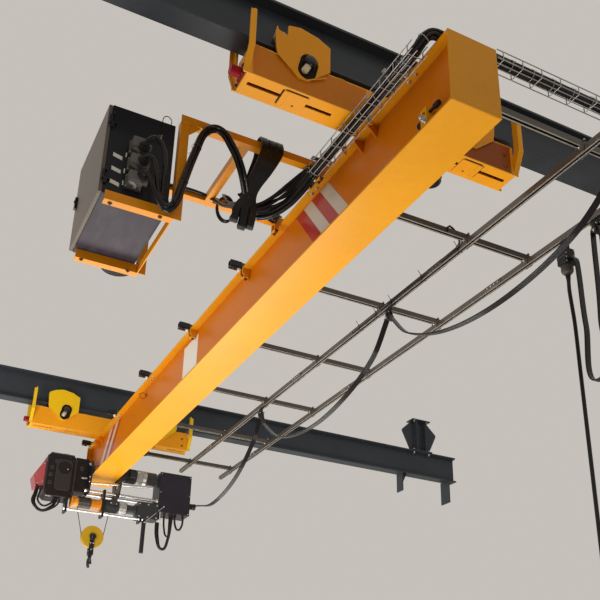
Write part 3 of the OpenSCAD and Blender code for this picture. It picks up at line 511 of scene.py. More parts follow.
# Pendant feed cable
# The same kind of flat cable, bunched in long loops at the near end of the outer rail.
pendant_rail_x, pendant_saddles, feed_t = 1600, (520, 790), 0.011
feed_way = [(80, 360), (80, 300), (110, -100), (200, -620), (300, -780), (400, -620),
            (480, -100), *over_saddle(pendant_saddles[0]), (565, -300), (655, -840),
            (745, -300), *over_saddle(pendant_saddles[1]), (850, -300), (920, -700),
            (975, -300), (985, 180), (1008, 230), (1038, 230)]
feed_line = smooth(at([(pendant_rail_x, y, z) for y, z in feed_way]), 0.02)
feed = make("pendant_flat_cable", [sweep(feed_line, flat_section(flat_w, feed_t), (1, 0, 0))],
            jacket, None)
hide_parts("pendant_feed_cable")
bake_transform(feed)

# Pendant cable
# A round control cable that hangs from its plug down to the push-button station.
pendant_line = smooth(at([
    (1600, 1076, 126), (1597, 1074, 74), (1590, 1070, 6), (1598, 1072, -90), (1612, 1077, -240),
    (1612, 1078, -600), (1608, 1076, -1400), (1606, 1076, -2160)]), 0.04)
lay_cable("pendant_round_cable", pendant_line, 0.026, (1, 0, 0), 14, "pendant",
          replaced="pendant_cable")

# Hoist cable loops
# Slack loops of stiff cable: under the brake housing as a ring of three, and under the control
# box as two long loops and a short one. Each has its thickness in millimetres.
loop_ways = (
    ("left", 34, [(-700, 6730, -193), (-705, 6730, -260), (-715, 6724, -380), (-630, 6720, -455),
                  (-530, 6724, -400), (-490, 6730, -330), (-490, 6730, -290)]),
    ("left_inner", 22, [(-668, 6700, -193), (-672, 6700, -250), (-684, 6694, -350),
                        (-622, 6690, -408), (-545, 6694, -370), (-520, 6700, -320),
                        (-520, 6700, -289)]),
    ("left_outer", 20, [(-716, 6688, -193), (-728, 6686, -270), (-742, 6680, -384),
                        (-640, 6672, -470), (-520, 6680, -420), (-462, 6690, -350),
                        (-462, 6692, -289)]),
    ("right", 34, [(700, 6800, -292), (700, 6800, -350), (710, 6790, -560), (770, 6784, -690),
                   (835, 6790, -560), (860, 6800, -350), (860, 6800, -292)]),
    ("right_outer", 26, [(668, 6740, -292), (662, 6740, -360), (676, 6732, -580),
                         (752, 6726, -706), (812, 6732, -580), (820, 6740, -380),
                         (820, 6742, -292)]),
    ("right_inner", 22, [(740, 6700, -292), (738, 6700, -340), (748, 6696, -470),
                         (790, 6692, -560), (818, 6696, -470), (826, 6702, -360),
                         (826, 6704, -292)]),
    ("right_short", 24, [(872, 6708, -292), (866, 6702, -330), (876, 6692, -420),
                         (912, 6688, -470), (954, 6692, -420), (966, 6702, -340),
                         (962, 6708, -292)]))
for side, wide, way in loop_ways:
    lay_cable(f"hoist_loop_{side}", smooth(at(way), 0.012), wide / 1000, body="hoist",
              replaced="hoist_cable_loops" if side == "left" else None)

# Strain reliefs and glands
# Tapered rubber collars and six-sided nuts where each cable leaves its housing.


def square_to(axis):
    """Two unit vectors square to an axis and to each other, with the axis itself last."""
    axis = np.asarray(axis, float) / np.linalg.norm(axis)
    first = np.cross(axis, (0.0, 0.0, 1.0) if abs(axis[2]) < 0.9 else (1.0, 0.0, 0.0))
    first /= np.linalg.norm(first)
    return first, np.cross(axis, first), axis


def turned(place, axis, profile, sides=24):
    """A turned body: each pair of the profile, distance along the axis and radius in
    millimetres, is a ring of points round the axis."""
    first, second, axis = square_to(axis)
    ring = oval(2, 2, sides)
    way, radius = np.asarray(profile, float).T / 1000
    circle = ring[:, :1] * first + ring[:, 1:] * second
    return loft(at(place) + way[:, None, None] * axis + radius[:, None, None] * circle)


def strain_relief(place, axis, root, tip, long):
    """The tapered collar where a cable leaves a housing: rings that narrow, with four grooves."""
    way = np.linspace(0, long, 10)
    radius = root + (tip - root) * way / long - 0.9 * (np.arange(10) % 2)
    return turned(place, axis, np.stack([way, radius], 1), 18)


collar_rubber = finish("collar_rubber", (0.014, 0.014, 0.015), 0.5, Tone=0.3, Grain=300.0,
                       Bump=0.2)
cabinet_ends = []
for x, z in plug_mouths:
    cabinet_ends += [turned((x, 1212, z), (0, -1, 0), [(0, 31), (8, 31), (10, 29)], 30),
                     turned((x, 1204, z), (0, -1, 0), [(0, 27), (12, 27), (13, 25)], 8),
                     strain_relief((x, 1192, z), (0, -1, -0.1), 19, 13.6, 24)]
make("cabinet_glands", cabinet_ends, collar_rubber, "bridge")
hoist_ends = []
for side, wide, way in loop_ways:
    for x, y, z in (way[0], way[-1]):
        nut = [(0, wide * 0.72), (10, wide * 0.72), (12, wide * 0.66)]
        hoist_ends += [turned((x, y, z + 3), (0, 0, -1), nut, 6),
                       strain_relief((x, y, z - 8), (0, 0, -1), wide * 0.64, wide * 0.54, 24)]
make("hoist_glands", hoist_ends, collar_rubber, "hoist")
make("pendant_glands", [strain_relief((1600, 1076, 128), (0, 0, -1), 18, 13.6, 48),
                        strain_relief((1606, 1076, -2162), (0, 0, 1), 21, 13.8, 55),
                        turned((1600, 1076, 158), (0, 0, -1), [(0, 27), (16, 27), (18, 25)], 6)],
     collar_rubber, "pendant")
make("festoon_collars", [strain_relief((1070, 6668, -175), (0, -1, 0), 28, 24, 36)],
     collar_rubber, "hoist")

# Cable ties
# Thin nylon straps round the bundles, with their cut tails left standing.


def hoop(place, axis, radius, wide, high, sides=28, corners=8):
    """A closed ring round an axis: an oval section, wide along the axis and high outwards,
    carried once round a circle. Lengths in millimetres."""
    first, second, axis = square_to(axis)
    section, ring = oval(wide, high, corners) / 1000, oval(2, 2, sides)
    circle = ring[:, :1] * first + ring[:, 1:] * second
    return loft(at(place) + (radius / 1000 + section[None, :, 1:]) * circle[:, None]
                + section[None, :, :1] * axis, round_trip=True)


def cable_tie(line, index, radius, tail):
    """A strap round a bundle at one point of its line, with its lock and cut tail."""
    way = line[min(index + 1, len(line) - 1)] - line[index - 1]
    first, second, axis = square_to(way)
    lock = line[index] + first * (radius / 1000 + 0.003)
    ends = np.stack([lock, lock + first * 0.5 * tail + second * 0.2 * tail,
                     lock + first * tail + second * 0.6 * tail])
    block = np.stack([lock - axis * 0.004, lock + axis * 0.004])
    return [hoop((line[index] - girder) * 1000, axis, radius + 0.6, 5.5, 1.6, 20, 6),
            sweep(block, oval(0.009, 0.007, 8), second), sweep(ends, oval(0.0045, 0.0012, 6), axis)]


tie_nylon = finish("tie_nylon", (0.34, 0.34, 0.33), 0.4, Tone=0.2, Grain=300.0)
ties = []
for index in range(34, len(tray_line) - 2, 7):
    ties += cable_tie(tray_line, index, bundle_d * 500 + 1.2, 0.014)
tray_near = np.array([line[-1] for line in slack_lines]).mean(0)
tray_mouth = np.stack([tray_near + (0, 0.06, -0.004), tray_near, tray_near - (0, 0.04, 0)])
ties += cable_tie(tray_mouth, 1, 43, 0.03)
make("tray_ties", ties, tie_nylon, "bridge")
band_line = smooth(cabinet_route, 0.015)
black_ties = []
for index in (4, 16, 34, 44):
    black_ties += cable_tie(band_line, index, 27.5, 0.045)
black_ties += [hoop((-592, 1397, 188), (0.1, -0.58, 0.81), 39, 8, 4, 26, 8),
               hoop((-545, 1884, 476), (1, 0, 0), 20, 6, 2, 18, 6),
               hoop((-300, 1880, 470), (1, 0, 0), 22, 6, 2, 18, 6)]
make("black_ties", black_ties, jacket, "bridge")

# Runways
# Two rolled beams with tapered flanges, hung from the roof by plate hangers, in satin
# blue-grey paint. The hangers are bolted to the beams and welded up from plate.


def dress(paint, *nodes):
    """These construction nodes get one finish."""
    for name in nodes:
        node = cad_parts[name]
        node.data.materials.clear()
        node.data.materials.append(paint)


def bolts(places, axis, wide, tall, stub=0.0):
    """Hexagon heads on their washers: six-sided rings along the axis, the last one drawn in,
    and the thread's rounded end past it where there is one."""
    parts = []
    for place in places:
        parts += [
            turned(place, axis, [(0, wide * 0.78), (2.4, wide * 0.78), (2.8, wide * 0.72)], 14),
            turned(place, axis, [(2.4, wide * 0.58), (tall - 1.6, wide * 0.58),
                                 (tall, wide * 0.48)], 6)]
        if stub:
            parts.append(turned(place, axis, [(tall - 1, wide * 0.3), (tall + stub - 2, wide * 0.3),
                                              (tall + stub, wide * 0.22)], 10))
    return parts


def bead(start, end, wide, side, pitch=16.0):
    """A weld bead between two places: a low oval whose size swells once for each pitch and
    dies away at both ends."""
    start, end = at(start), at(end)
    count = max(8, int(np.linalg.norm(end - start) * 3000 / pitch))
    t = np.linspace(0, 1, count)[:, None]
    fade = np.clip(np.minimum(t[:, 0], 1 - t[:, 0]) * count / 2, 0.15, 1)
    swell = (1 + 0.14 * np.sin(np.arange(count) * 2.09)) * fade
    return sweep(start + (end - start) * t, oval(wide / 1000, wide / 1000, 6), side, swell)


track_paint = finish("track_paint", (0.034, 0.04, 0.05), 0.4, coat=0.12, coat_roughness=0.3,
                     Tone=0.35, Grain=90.0, Bump=0.12, Rim=(0.12, 0.13, 0.15), Wear=0.3,
                     Settled=0.4, Spread=0.15)
dress(track_paint, "track_near", "track_far", "track_hangers", "track_stops")
fastener = finish("fastener", (0.5, 0.49, 0.46), 0.34, metallic=1.0, Tone=0.4, Grain=260.0,
                  Rim=(0.8, 0.8, 0.78), Wear=0.4)
track_ys, hanger_xs, stop_xs = (820, 6610), (-1750, 4250), (-2180, 3920)
corners = [(a, b) for a in (-1, 1) for b in (-1, 1)]
plate_faces, foot_z, flange_z, head_z, stop_z = (-7, 7), 1064, 1031, 1496, 699
hanger_bolts, hanger_beads = [], []
for x in hanger_xs:
    for y in track_ys:
        feet = [(x + a * 120, y + b * 52) for a, b in corners]
        hanger_bolts += bolts([(*foot, foot_z) for foot in feet], (0, 0, 1), 26, 15, 6)
        hanger_bolts += bolts([(*foot, flange_z) for foot in feet], (0, 0, -1), 26, 17, 8)
        hanger_bolts += bolts([(x + a * 100, y + b * 50, head_z) for a, b in corners],
                              (0, 0, -1), 28, 17, 12)
        for s in plate_faces:
            hanger_beads += [bead((x - long, y + s, z), (x + long, y + s, z), 11, (0, 1, 0))
                             for long, z in ((148, foot_z), (118, head_z))]
            hanger_beads += [bead((x + a, y + s, foot_z + 4), (x + a, y + s, head_z - 6), 9,
                                  (0, 1, 0)) for a in (-79.5, -65.5, 65.5, 79.5)]
stop_beads = [bead((x + s, y - 64, stop_z), (x + s, y + 64, stop_z), 11, (1, 0, 0))
              for x in stop_xs for y in track_ys for s in plate_faces]
make("hanger_bolts", hanger_bolts, fastener, "runway")
make("hanger_welds", hanger_beads + stop_beads, track_paint, "runway")

# Girder
# A box welded from four long plates and closed by plates at both ends, in glossy orange-yellow paint.
# The webs, the weld beads along them and the end plates take darker, more orange copies of it:
# painted shade on the side faces.
yellow = dict(coat_roughness=0.16, Grain=140.0, Bump=0.1, Wear=0.5, Settled=0.12, Spread=0.12)
crane_paint = finish("crane_paint", (0.76, 0.325, 0.004), 0.34, coat=0.16, Tone=0.16,
                     Rim=(0.95, 0.55, 0.05), **yellow)
web_shade_paint = finish("web_shade_paint", (0.62, 0.165, 0.001), 0.36, coat=0.06, Tone=0.2,
                   Rim=(0.9, 0.4, 0.03), **yellow)
end_plate_shade_paint = finish("end_plate_shade_paint", (0.66, 0.27, 0.001), 0.38, coat=0.04, Tone=0.2,
                     Rim=(0.95, 0.55, 0.05), **yellow)
frame_paint = finish("frame_paint", (0.74, 0.27, 0.002), 0.38, coat=0.06, Tone=0.22,
                     Rim=(0.95, 0.6, 0.14), **yellow)
dress(crane_paint, "girder_flanges", "girder_stops")
dress(frame_paint, "cabinet_frame")
dress(end_plate_shade_paint, "girder_end_plates")
dress(web_shade_paint, "girder_webs")
seams = [bead((s * 90, 14, z), (s * 90, 7016, z), 9, (1, 0, 0), 24)
         for s in (-1, 1) for z in (13, 431)]
seams += [bead((s * 91, y, 16), (s * 91, y, 428), 8, (1, 0, 0))
          for s in (-1, 1) for y in (11, 7019)]
make("girder_welds", seams, web_shade_paint, "bridge")

# Warning stripes
# Red and white bands painted slantwise across both webs at each end, and a bare white plate.


def slab(outline, place, first, second, thick, ease=1.2):
    """A plate: its outline in the plane of two directions, given thickness square to them.
    Both faces are drawn in by ease along the corners' miters, which breaks the edges."""
    outline = np.asarray(outline, float)
    first, second = np.asarray(first, float), np.asarray(second, float)
    ahead = np.roll(outline, -1, 0) - outline
    (x, y), (next_x, next_y) = outline.T, np.roll(outline, -1, 0).T
    inward = np.stack([-ahead[:, 1], ahead[:, 0]], 1) * np.sign(np.sum(x * next_y - y * next_x))
    inward /= np.linalg.norm(inward, axis=1)[:, None]
    before = np.roll(inward, 1, 0)
    miter = (inward + before) / (1 + np.sum(inward * before, 1))[:, None]
    levels = np.array([0, ease, thick - ease, thick])[:, None, None]
    drawn = np.array([ease, 0, 0, ease])[:, None, None]
    flat = outline[None] + drawn * miter[None]
    return loft(at(place) + (flat[..., :1] * first + flat[..., 1:] * second
                             + levels * np.cross(first, second)) / 1000)


def on_web(outline, x, thick, ease):
    """A plate on a web: outline in y and z, given thickness to the right from x."""
    return slab(outline, (x, 0, 0), (0, 1, 0), (0, 0, 1), thick, ease)


def band(x, y, wide, lean):
    """A thin slanting band over the web's whole height: low corner at y, top moved by lean."""
    low, high = 18, 426
    return on_web([(y, low), (y + wide, low), (y + wide + lean, high), (y + lean, high)], x,
                  0.5, 0.1)


red_bands, white_bands = [], []
for x in (-90.6, 90.3):
    for number in range(4):
        near_kind, far_kind = (red_bands, white_bands) if number % 2 else (white_bands, red_bands)
        near_kind.append(band(x, 1016 + number * 110, 110, 306))
        far_kind.append(band(x, 6192 + number * 112, 112, -361))
make("red_bands", red_bands,
     finish("stripe_red", (0.42, 0.02, 0.016), 0.4, coat=0.3, Tone=0.2, Grain=160.0, Bump=0.1),
     "bridge")
make("white_bands", white_bands,
     finish("stripe_white", (0.6, 0.52, 0.43), 0.45, coat=0.2, Tone=0.16, Grain=160.0, Bump=0.1),
     "bridge")
plate_white = finish("plate_white", (0.78, 0.74, 0.68), 0.42, coat=0.3, Tone=0.1, Grain=200.0)
make("bare_plates", [on_web([(3560, 100), (3900, 100), (3900, 386), (3560, 386)], x, 1.6, 0.5)
                     for x in (-91.8, 90.2)], plate_white, "bridge")

# Girder fittings
# Trolley stop bolts and rubber pads, a lifting ring on the left web, and stiffening plates
# between the webs and the top flange where the trucks are fixed.
pad_rubber = finish("pad_rubber", (0.012, 0.012, 0.013), 0.5, Tone=0.3, Grain=300.0, Bump=0.2)
# Painted shade: the lifting ring's paint is darkened to stand for the shadow round it on the web.
ring_shade_paint = finish("ring_shade_paint", (0.3, 0.075, 0.002), 0.42, Tone=0.3, Rim=(0.8, 0.36, 0.03),
                    **yellow)
pad_profile = [(0, 21), (6, 23), (12, 21), (18, 23), (24, 21), (30, 23), (38, 21), (41, 16)]
stop_bolts, pads, gussets = [], [], []
for s in (-1, 1):
    for y in (237, 6991):
        stop_bolts += bolts([(s * 146, y - 12, 40), (s * 146, y + 12, 76)], (s, 0, 0), 24, 13, 8)
    pads += [turned((s * 122, y, 62), (0, way, 0), pad_profile, 22)
             for y, way in ((262, 1), (6966, -1))]
    pads.append(turned((s * 122, 212, 98), (0, -1, 0),
                       [(0, 9), (40, 9), (42, 15), (76, 15), (82, 11)], 18))
    gussets += [slab([(90, 350), (90, 431), (148, 431), (148, 408), (100, 350)],
                     (0, y + 5, 0), (s, 0, 0), (0, 0, 1), 10) for y in (744, 896, 6534, 6686)]
make("stop_bolts", stop_bolts, fastener, "bridge")
make("stop_pads", pads, pad_rubber, "bridge")
make("lifting_ring", [hoop((-129, 4960, 336), (0.2, 1, 0), 30, 9, 9, 32, 10),
                      turned((-90, 4960, 352), (-1, 0, 0),
                             [(0, 17), (3, 17), (4, 8), (16, 8), (19, 6)], 16)],
     ring_shade_paint, "bridge")
# The gussets take the darker web copy of the paint: painted shade.
make("girder_gussets", gussets, web_shade_paint, "bridge")

# End trucks
# Boxes of folded plate with slots in the floor, lobed wheel cheeks and bent guards, painted
# like the girder. A dark pin with a round end ties each cheek through its oval hole.


def upright(outline, y, thick, ease=1.2):
    """A plate across the girder: outline in x and z, given thickness towards the near end."""
    return slab(outline, (0, y, 0), (1, 0, 0), (0, 0, 1), thick, ease)


def brick(low, high, ease=1.2):
    """A block from its lowest to its highest corner, with its edges broken."""
    (x0, y0, z0), (x1, y1, z1) = low, high
    return slab([(x0, y0), (x1, y0), (x1, y1), (x0, y1)], (0, 0, z0), (1, 0, 0), (0, 1, 0),
                z1 - z0, ease)


def respray(name, near_colour, far_colour):
    """The truck paint whose colour changes halfway along the girder: the far truck's cheeks and
    guards were sprayed with a yellower batch."""
    material = finish(name, near_colour, 0.37, Tone=0.18, Rim=(0.98, 0.66, 0.13), **truck_wear_and_highlight)
    tree = material.node_tree
    group = next(node for node in tree.nodes if node.type == "GROUP")
    split = add(tree, "SeparateXYZ")
    tree.links.new(add(tree, "TexCoord").outputs["Object"], split.inputs[0])
    beyond = add(tree, "Math", operation="GREATER_THAN")
    beyond.inputs[1].default_value = girder[1] + 3.5
    tree.links.new(split.outputs["Y"], beyond.inputs[0])
    blend = add(tree, "Mix", data_type="RGBA")
    blend.inputs[6].default_value = (*near_colour, 1)
    blend.inputs[7].default_value = (*far_colour, 1)
    tree.links.new(beyond.outputs[0], blend.inputs[0])
    tree.links.new(blend.outputs[2], group.inputs["Colour"])
    return material


# Strong, wide rim wear on the truck paints: their lighter edges are partly edge wear and partly
# painted highlight.
truck_wear_and_highlight = {**yellow, "Wear": 0.9, "Edge": 0.008}
truck_paint = finish("truck_paint", (0.84, 0.34, 0.006), 0.34, Tone=0.16, Rim=(0.98, 0.62, 0.14),
                     **truck_wear_and_highlight)
# Painted shade: a darker, more orange copy of the truck paint for side-facing pieces; the near cheeks
# take the same colour.
side_shade_paint = finish("side_shade_paint", (0.78, 0.3, 0.002), 0.38, Tone=0.2, Rim=(0.98, 0.6, 0.12),
                    **truck_wear_and_highlight)
dress(truck_paint, "truck_near", "truck_far")
dress(respray("cheek_paint", (0.78, 0.3, 0.002), (0.84, 0.52, 0.004)), "truck_cheeks")
dress(respray("guard_paint", (0.84, 0.34, 0.006), (0.84, 0.54, 0.006)), "truck_guards")
wheel_steel = finish("wheel_steel", (0.3, 0.3, 0.3), 0.38, metallic=1.0, Tone=0.4, Grain=200.0)
dress(wheel_steel, "truck_wheels", "trolley_wheels")
pin_black = finish("pin_black", (0.01, 0.01, 0.012), 0.28, coat=0.4, Tone=0.3, Grain=240.0,
                   Bump=0.15)
cream = finish("cream", (0.62, 0.55, 0.38), 0.4, coat=0.2, Tone=0.2, Grain=200.0)
shade_dark = finish("shade_dark", (0.02, 0.011, 0.006), 0.8, Tone=0.4, Grain=200.0)
dark_bolt = finish("dark_bolt", (0.12, 0.1, 0.08), 0.45, metallic=0.8, Tone=0.5, Grain=260.0)
red_rubber = finish("red_rubber", (0.32, 0.004, 0.016), 0.45, Rim=(0.5, 0.05, 0.06), Tone=0.25,
                    Grain=200.0, Bump=0.15)
wheel_x, slot_x, slot_half, buffer_z = 548, 595, 75, 504
half_circle = np.linspace(0, math.pi, 13)
upper = np.stack([59 * np.cos(half_circle), 38 + 57 * np.sin(half_circle)], 1)
bore = np.concatenate([upper, -upper])
bore_lean = math.radians(12)
pin_profile = [(0, 32.5), (30, 32.5), (36, 34), (44, 35), (50, 33), (56, 26), (59, 14), (60, 5)]
pins, bosses, bore_shades, slot_shadow_strips, patches = [], [], [], [], []
truck_bolts, truck_beads, buffer_ribs = [], [], []
for y in track_ys:
    for s in (-1, 1):
        cos, sin = math.cos(bore_lean), math.sin(bore_lean) * s
        leaning = bore @ np.array(((cos, sin), (-sin, cos))) + (s * wheel_x, 630)
        for f in (-1, 1):
            # Painted shade: a thin dark oval sheet on each cheek face stands for the shaded depth of
            # its hole.
            bore_shades.append(upright(leaning, y + (86.2 if f > 0 else -85.6), 0.6, 0.1))
            pins += [turned((s * wheel_x, y + f * 86, 646), (0, f, 0), pin_profile, 26),
                     turned((s * 556, y + f * 140, 640), (0, f, 0), [(0, 15), (5, 15), (7, 12)], 6)]
            bosses.append(turned((s * 556, y + f * 108, 622), (s * 0.5, 0, -1),
                                 [(0, 19), (2, 20), (46, 20), (48, 18)], 20))
            cheek_y, wall_y = y + f * 97, y + f * 85
            truck_beads += [bead((s * a, cheek_y, low), (s * b, cheek_y, high), 9, (0, 1, 0))
                            for a, low, b, high in ((430, 604, 560, 529), (600, 529, 742, 646))]
            truck_beads += bolts([(820, wall_y, 572), (825, wall_y, 488)], (0, f, 0), 15, 9, 4)
            truck_bolts += bolts([(-901, y + f * 60, z) for z in (470, 540)], (-1, 0, 0), 13, 8, 3)
        edge = s * (slot_x + slot_half)
        # Painted shadow: on the near truck, thin dark strips along the near and outer edges of each
        # floor slot.
        if y == track_ys[0]:
            x0, x1 = sorted((edge, edge + s * 8))
            slot_shadow_strips += [brick((s * slot_x - 66, y - 71, 443.1), (s * slot_x + 66, y - 63.2, 443.9),
                            0.3),
                      brick((x0 + s * 0.3, y - 62, 443.1), (x1 + s * 0.3, y + 52, 443.9), 0.3)]
        x0, x1 = sorted((edge, edge - s * 32))
        patches.append(brick((x0, y - 60, 437.3), (x1, y + 58, 438.1), 0.3))
    truck_beads += [bead((a, y + f * 85, 648), (b, y + f * 85, 648), 8, (0, 1, 0)) for f in (-1, 1)
                    for a, b in ((-886, -748), (-362, -300), (300, 362), (748, 886))]
    buffer_ribs += [hoop((-921 - 10 * k, y, buffer_z), (1, 0, 0), 28, 6, 5, 28, 8)
                    for k in range(5)]
    buffer_ribs.append(turned((-966, y, buffer_z), (-1, 0, 0), [(0, 29), (3, 26), (3.6, 12)], 26))
    truck_bolts += bolts([(-909, y + a * 30, buffer_z + b * 30) for a, b in corners],
                         (-1, 0, 0), 11, 7)
make("truck_bore_shades", bore_shades, shade_dark, "bridge")
make("truck_pins", pins, pin_black, "bridge")
make("pin_bosses", bosses, cream, "bridge")
make("truck_slot_shadows", slot_shadow_strips, shade_dark, "bridge")
make("truck_patches", patches, truck_paint, "bridge")
make("truck_bolts", truck_bolts, dark_bolt, "bridge")
# The truck welds take the darker side copy of the truck paint: painted shade.
make("truck_welds", truck_beads, side_shade_paint, "bridge")
# Painted shade: thin darker panels on the near truck's near side wall, the right one darkest where
# the girder shades it.
for name, x0, x1, colour in (("truck_side_left_shade", -872, -170, (0.56, 0.17, 0.001)),
                             ("truck_side_right_shade", 170, 868, (0.3, 0.065, 0.002))):
    make(name, [brick((x0, 734.3, 450), (x1, 735.1, 642), 0.3)],
         finish(name, colour, 0.42, Tone=0.25, Rim=(0.9, 0.5, 0.1), Edge=0.001, **yellow),
         "bridge")
dress(red_rubber, "truck_buffers")
make("buffer_ribs", buffer_ribs, red_rubber, "bridge")

# Travel drives
# A gearcase on each truck's inner cheek with an upright ribbed motor under it, its fan cover,
# terminal box and gland.


def ribbed(place, axis, radius, rib, long, count):
    """Cooling ribs round a motor: a star-shaped ring, four points a rib, carried along the axis
    and drawn in a little at both ends."""
    first, second, axis = square_to(axis)
    step = 2 * math.pi / count
    turn = (np.arange(count)[:, None] * step + np.array([0.1, 0.28, 0.42, 0.6]) * step).ravel()
    out = np.tile([0.0, 1.0, 1.0, 0.0], count)
    ways, draw = np.array([0, 2.0, long - 2.0, long]), np.array([0.5, 1, 1, 0.5])
    radii = (radius + out[None] * rib * draw[:, None]) / 1000
    circle = np.cos(turn)[:, None] * first + np.sin(turn)[:, None] * second
    return loft(at(place) + ways[:, None, None] / 1000 * axis + radii[..., None] * circle[None])


motor_paint = finish("motor_paint", (0.035, 0.037, 0.04), 0.42, coat=0.1, Tone=0.25, Grain=300.0,
                     Bump=0.3, Rim=(0.2, 0.2, 0.2))
dress(motor_paint, "truck_drives")
drive_parts, drive_trim = [], []
for y in track_ys:
    centre = (442, y + 163)
    drive_parts += [ribbed((*centre, 428), (0, 0, 1), 62, 7, 128, 30),
                    turned((*centre, 424), (0, 0, -1),
                           [(0, 60), (4, 63), (26, 63), (34, 58), (36, 50)], 30),
                    brick((430, y + 218, 470), (500, y + 256, 548), 3)]
    drive_parts += [hoop((*centre, 387.6), (0, 0, 1), r, 3, 3, 26, 6) for r in (14, 24, 34, 44)]
    drive_trim += bolts([(x, y + 187, z) for x in (392, 492) for z in (600, 760)],
                        (0, 1, 0), 14, 9)
    drive_trim.append(turned((500, y + 237, 500), (1, 0, 0),
                             [(0, 12), (9, 12), (10, 9), (22, 8)], 6))
make("drive_ribs", drive_parts, motor_paint, "bridge")
make("drive_bolts", drive_trim, fastener, "bridge")

# Cabinet
# A black powder-coated steel cabinet with a pale folded door on its left, bare label plates,
# and a thin wire loop with a tag at its near top edge.
black_paint = finish("black_paint", (0.013, 0.013, 0.017), 0.4, coat=0.1, Tone=0.3, Grain=500.0,
                     Bump=0.25, Rim=(0.12, 0.12, 0.13))
dress(black_paint, "cabinet_shell", "trolley_frame", "hook_cheeks", "hook")
door_paint = finish("door_paint", (0.14, 0.115, 0.095), 0.42, Tone=0.3, Grain=500.0,
                    Rim=(0.4, 0.36, 0.3), Draw=(1, 0.4, 1))
dress(door_paint, "cabinet_door")
scuffed = finish("scuffed", (0.034, 0.028, 0.04), 0.5, coat=0.08, coat_roughness=0.3, Tone=1.6,
                 Grain=300.0, Draw=(1, 0.3, 1), Spread=0.5)
front_y, hinge_zs = 1289.6, (-82, 288)
make("cabinet_floor", [brick((-1456, 1294, -162.9), (-1104, 1941, -162.1), 0.2)], scuffed,
     "bridge")
labels = [upright([(-1429, z), (-1377, z - 12), (-1377, z + 13), (-1429, z + 25)], front_y,
                  1.2, 0.3) for z in (84, -5, -90)]
labels += [upright([(-1362, z), (-1355, z), (-1355, z + 30), (-1362, z + 30)], front_y,
                   1.2, 0.3) for z in (102, -4, -84)]
make("cabinet_labels", labels, plate_white, "bridge")
make("hinge_sleeves", [turned((-1469, 1283, z + 11), (0, 0, 1),
                              [(0, 10.6), (2, 11.2), (40, 11.2), (42, 10.6)], 20)
                       for z in hinge_zs], black_paint, "cabinet_door")
make("hinge_blocks", [brick((-1466, 1273, z + low), (-1448, 1289.4, z + high), 2)
                      for low, high in ((-26, -0.5), (55.5, 74)) for z in hinge_zs],
     black_paint, "bridge")
make("door_handle", [brick((-1498, 1884, 97), (-1480, 1912, 179), 3),
                     turned((-1497, 1898, 150), (-1, 0, 0), [(0, 9), (4, 9), (5, 7)], 18)],
     pin_black, "cabinet_door")
wire_line = smooth(at([
    (-1181, 1284, 296), (-1184, 1282, 330), (-1176, 1281, 372), (-1180, 1281, 420),
    (-1172, 1282, 452), (-1150, 1284, 463), (-1128, 1286, 444), (-1132, 1288, 405),
    (-1140, 1289, 380)]), 0.006)
lay_cable("tag_wire", wire_line, 0.005, corners=8)
make("wire_tags", [turned((-1181, 1284, 290), (0.1, 0, 1), [(0, 5), (16, 5), (18, 3)], 10),
                   turned((-1190, 1286, 316), (1, 0, 0.2), [(0, 4), (18, 4)], 8)],
     tie_nylon, "bridge")

# Plug connectors
# Grey cast hoods latched on flanged bases, each with two side levers and four screws.
housing = finish("housing", (0.026, 0.026, 0.028), 0.48, Tone=0.3, Grain=400.0, Bump=0.3,
                 Rim=(0.12, 0.12, 0.12))
hood_grey = finish("hood_grey", (0.13, 0.125, 0.12), 0.5, Tone=0.3, Grain=420.0, Bump=0.35,
                   Rim=(0.3, 0.3, 0.3))
dress(hood_grey, "cabinet_plugs")
hood_outline = [(-1347, 1214), (-1347, 1268), (-1341, 1274), (-1271, 1274), (-1265, 1268),
                (-1265, 1222), (-1285, 1207), (-1330, 1207)]
lever_outline = [(-1338, 1222), (-1318, 1218), (-1296, 1238), (-1290, 1272), (-1306, 1276),
                 (-1312, 1248), (-1336, 1238)]
hoods, levers = [], []
for z in (-58, 53, 166):
    hoods.append(slab(hood_outline, (0, 0, z - 30), (1, 0, 0), (0, 1, 0), 60, 4))
    levers += [slab(lever_outline, (0, 0, z + f * 36.5 - 1.5), (1, 0, 0), (0, 1, 0), 3, 0.6)
               for f in (-1, 1)]
    levers += bolts([(x, 1272, z + f * 34) for x in (-1344, -1268) for f in (-1, 1)],
                    (0, -1, 0), 7, 4)
    levers.append(turned((-1340, 1226, z - 37), (0, 0, 1), [(0, 3.4), (74, 3.4)], 10))
make("plug_hoods", hoods, hood_grey, "bridge")
make("plug_levers", levers, tie_nylon, "bridge")

# Cabinet frame fittings
# Bolts through the packers under the cabinet, corner plates at the posts, welds, and
# U-shaped clips with a bolt that pull the arms onto the girder's top flange.
rusty_bolt = finish("rusty_bolt", (0.14, 0.07, 0.03), 0.5, metallic=0.7, Tone=0.5, Grain=260.0)
rail_clip = [(-152, 432), (-90, 432), (-90, 392), (-104, 372), (-136, 372), (-152, 392)]
frame_clip = [(-186, 444), (-128, 444), (-128, 432), (-154, 428), (-160, 384), (-186, 384)]
corner_plate = [(-1030, 445), (-960, 445), (-960, 437), (-1022, 375), (-1030, 375)]
frame_bolts = bolts([(-1413, 1288, -218), (-1141, 1278, -218), (-1412, 1906, -218),
                     (-1135, 1896, -218)], (0, 0, -1), 16, 9, 3)
corner_plates, clips = [], []
for y in (2531, 3627):
    clips += [upright(rail_clip, y + f * 22 + 4, 8) for f in (-1, 1)]
    clips.append(brick((-140, y - 22, 362), (-96, y + 22, 373), 2))
    frame_bolts += bolts([(-118, y, 362)], (0, 0, -1), 17, 10, 6)
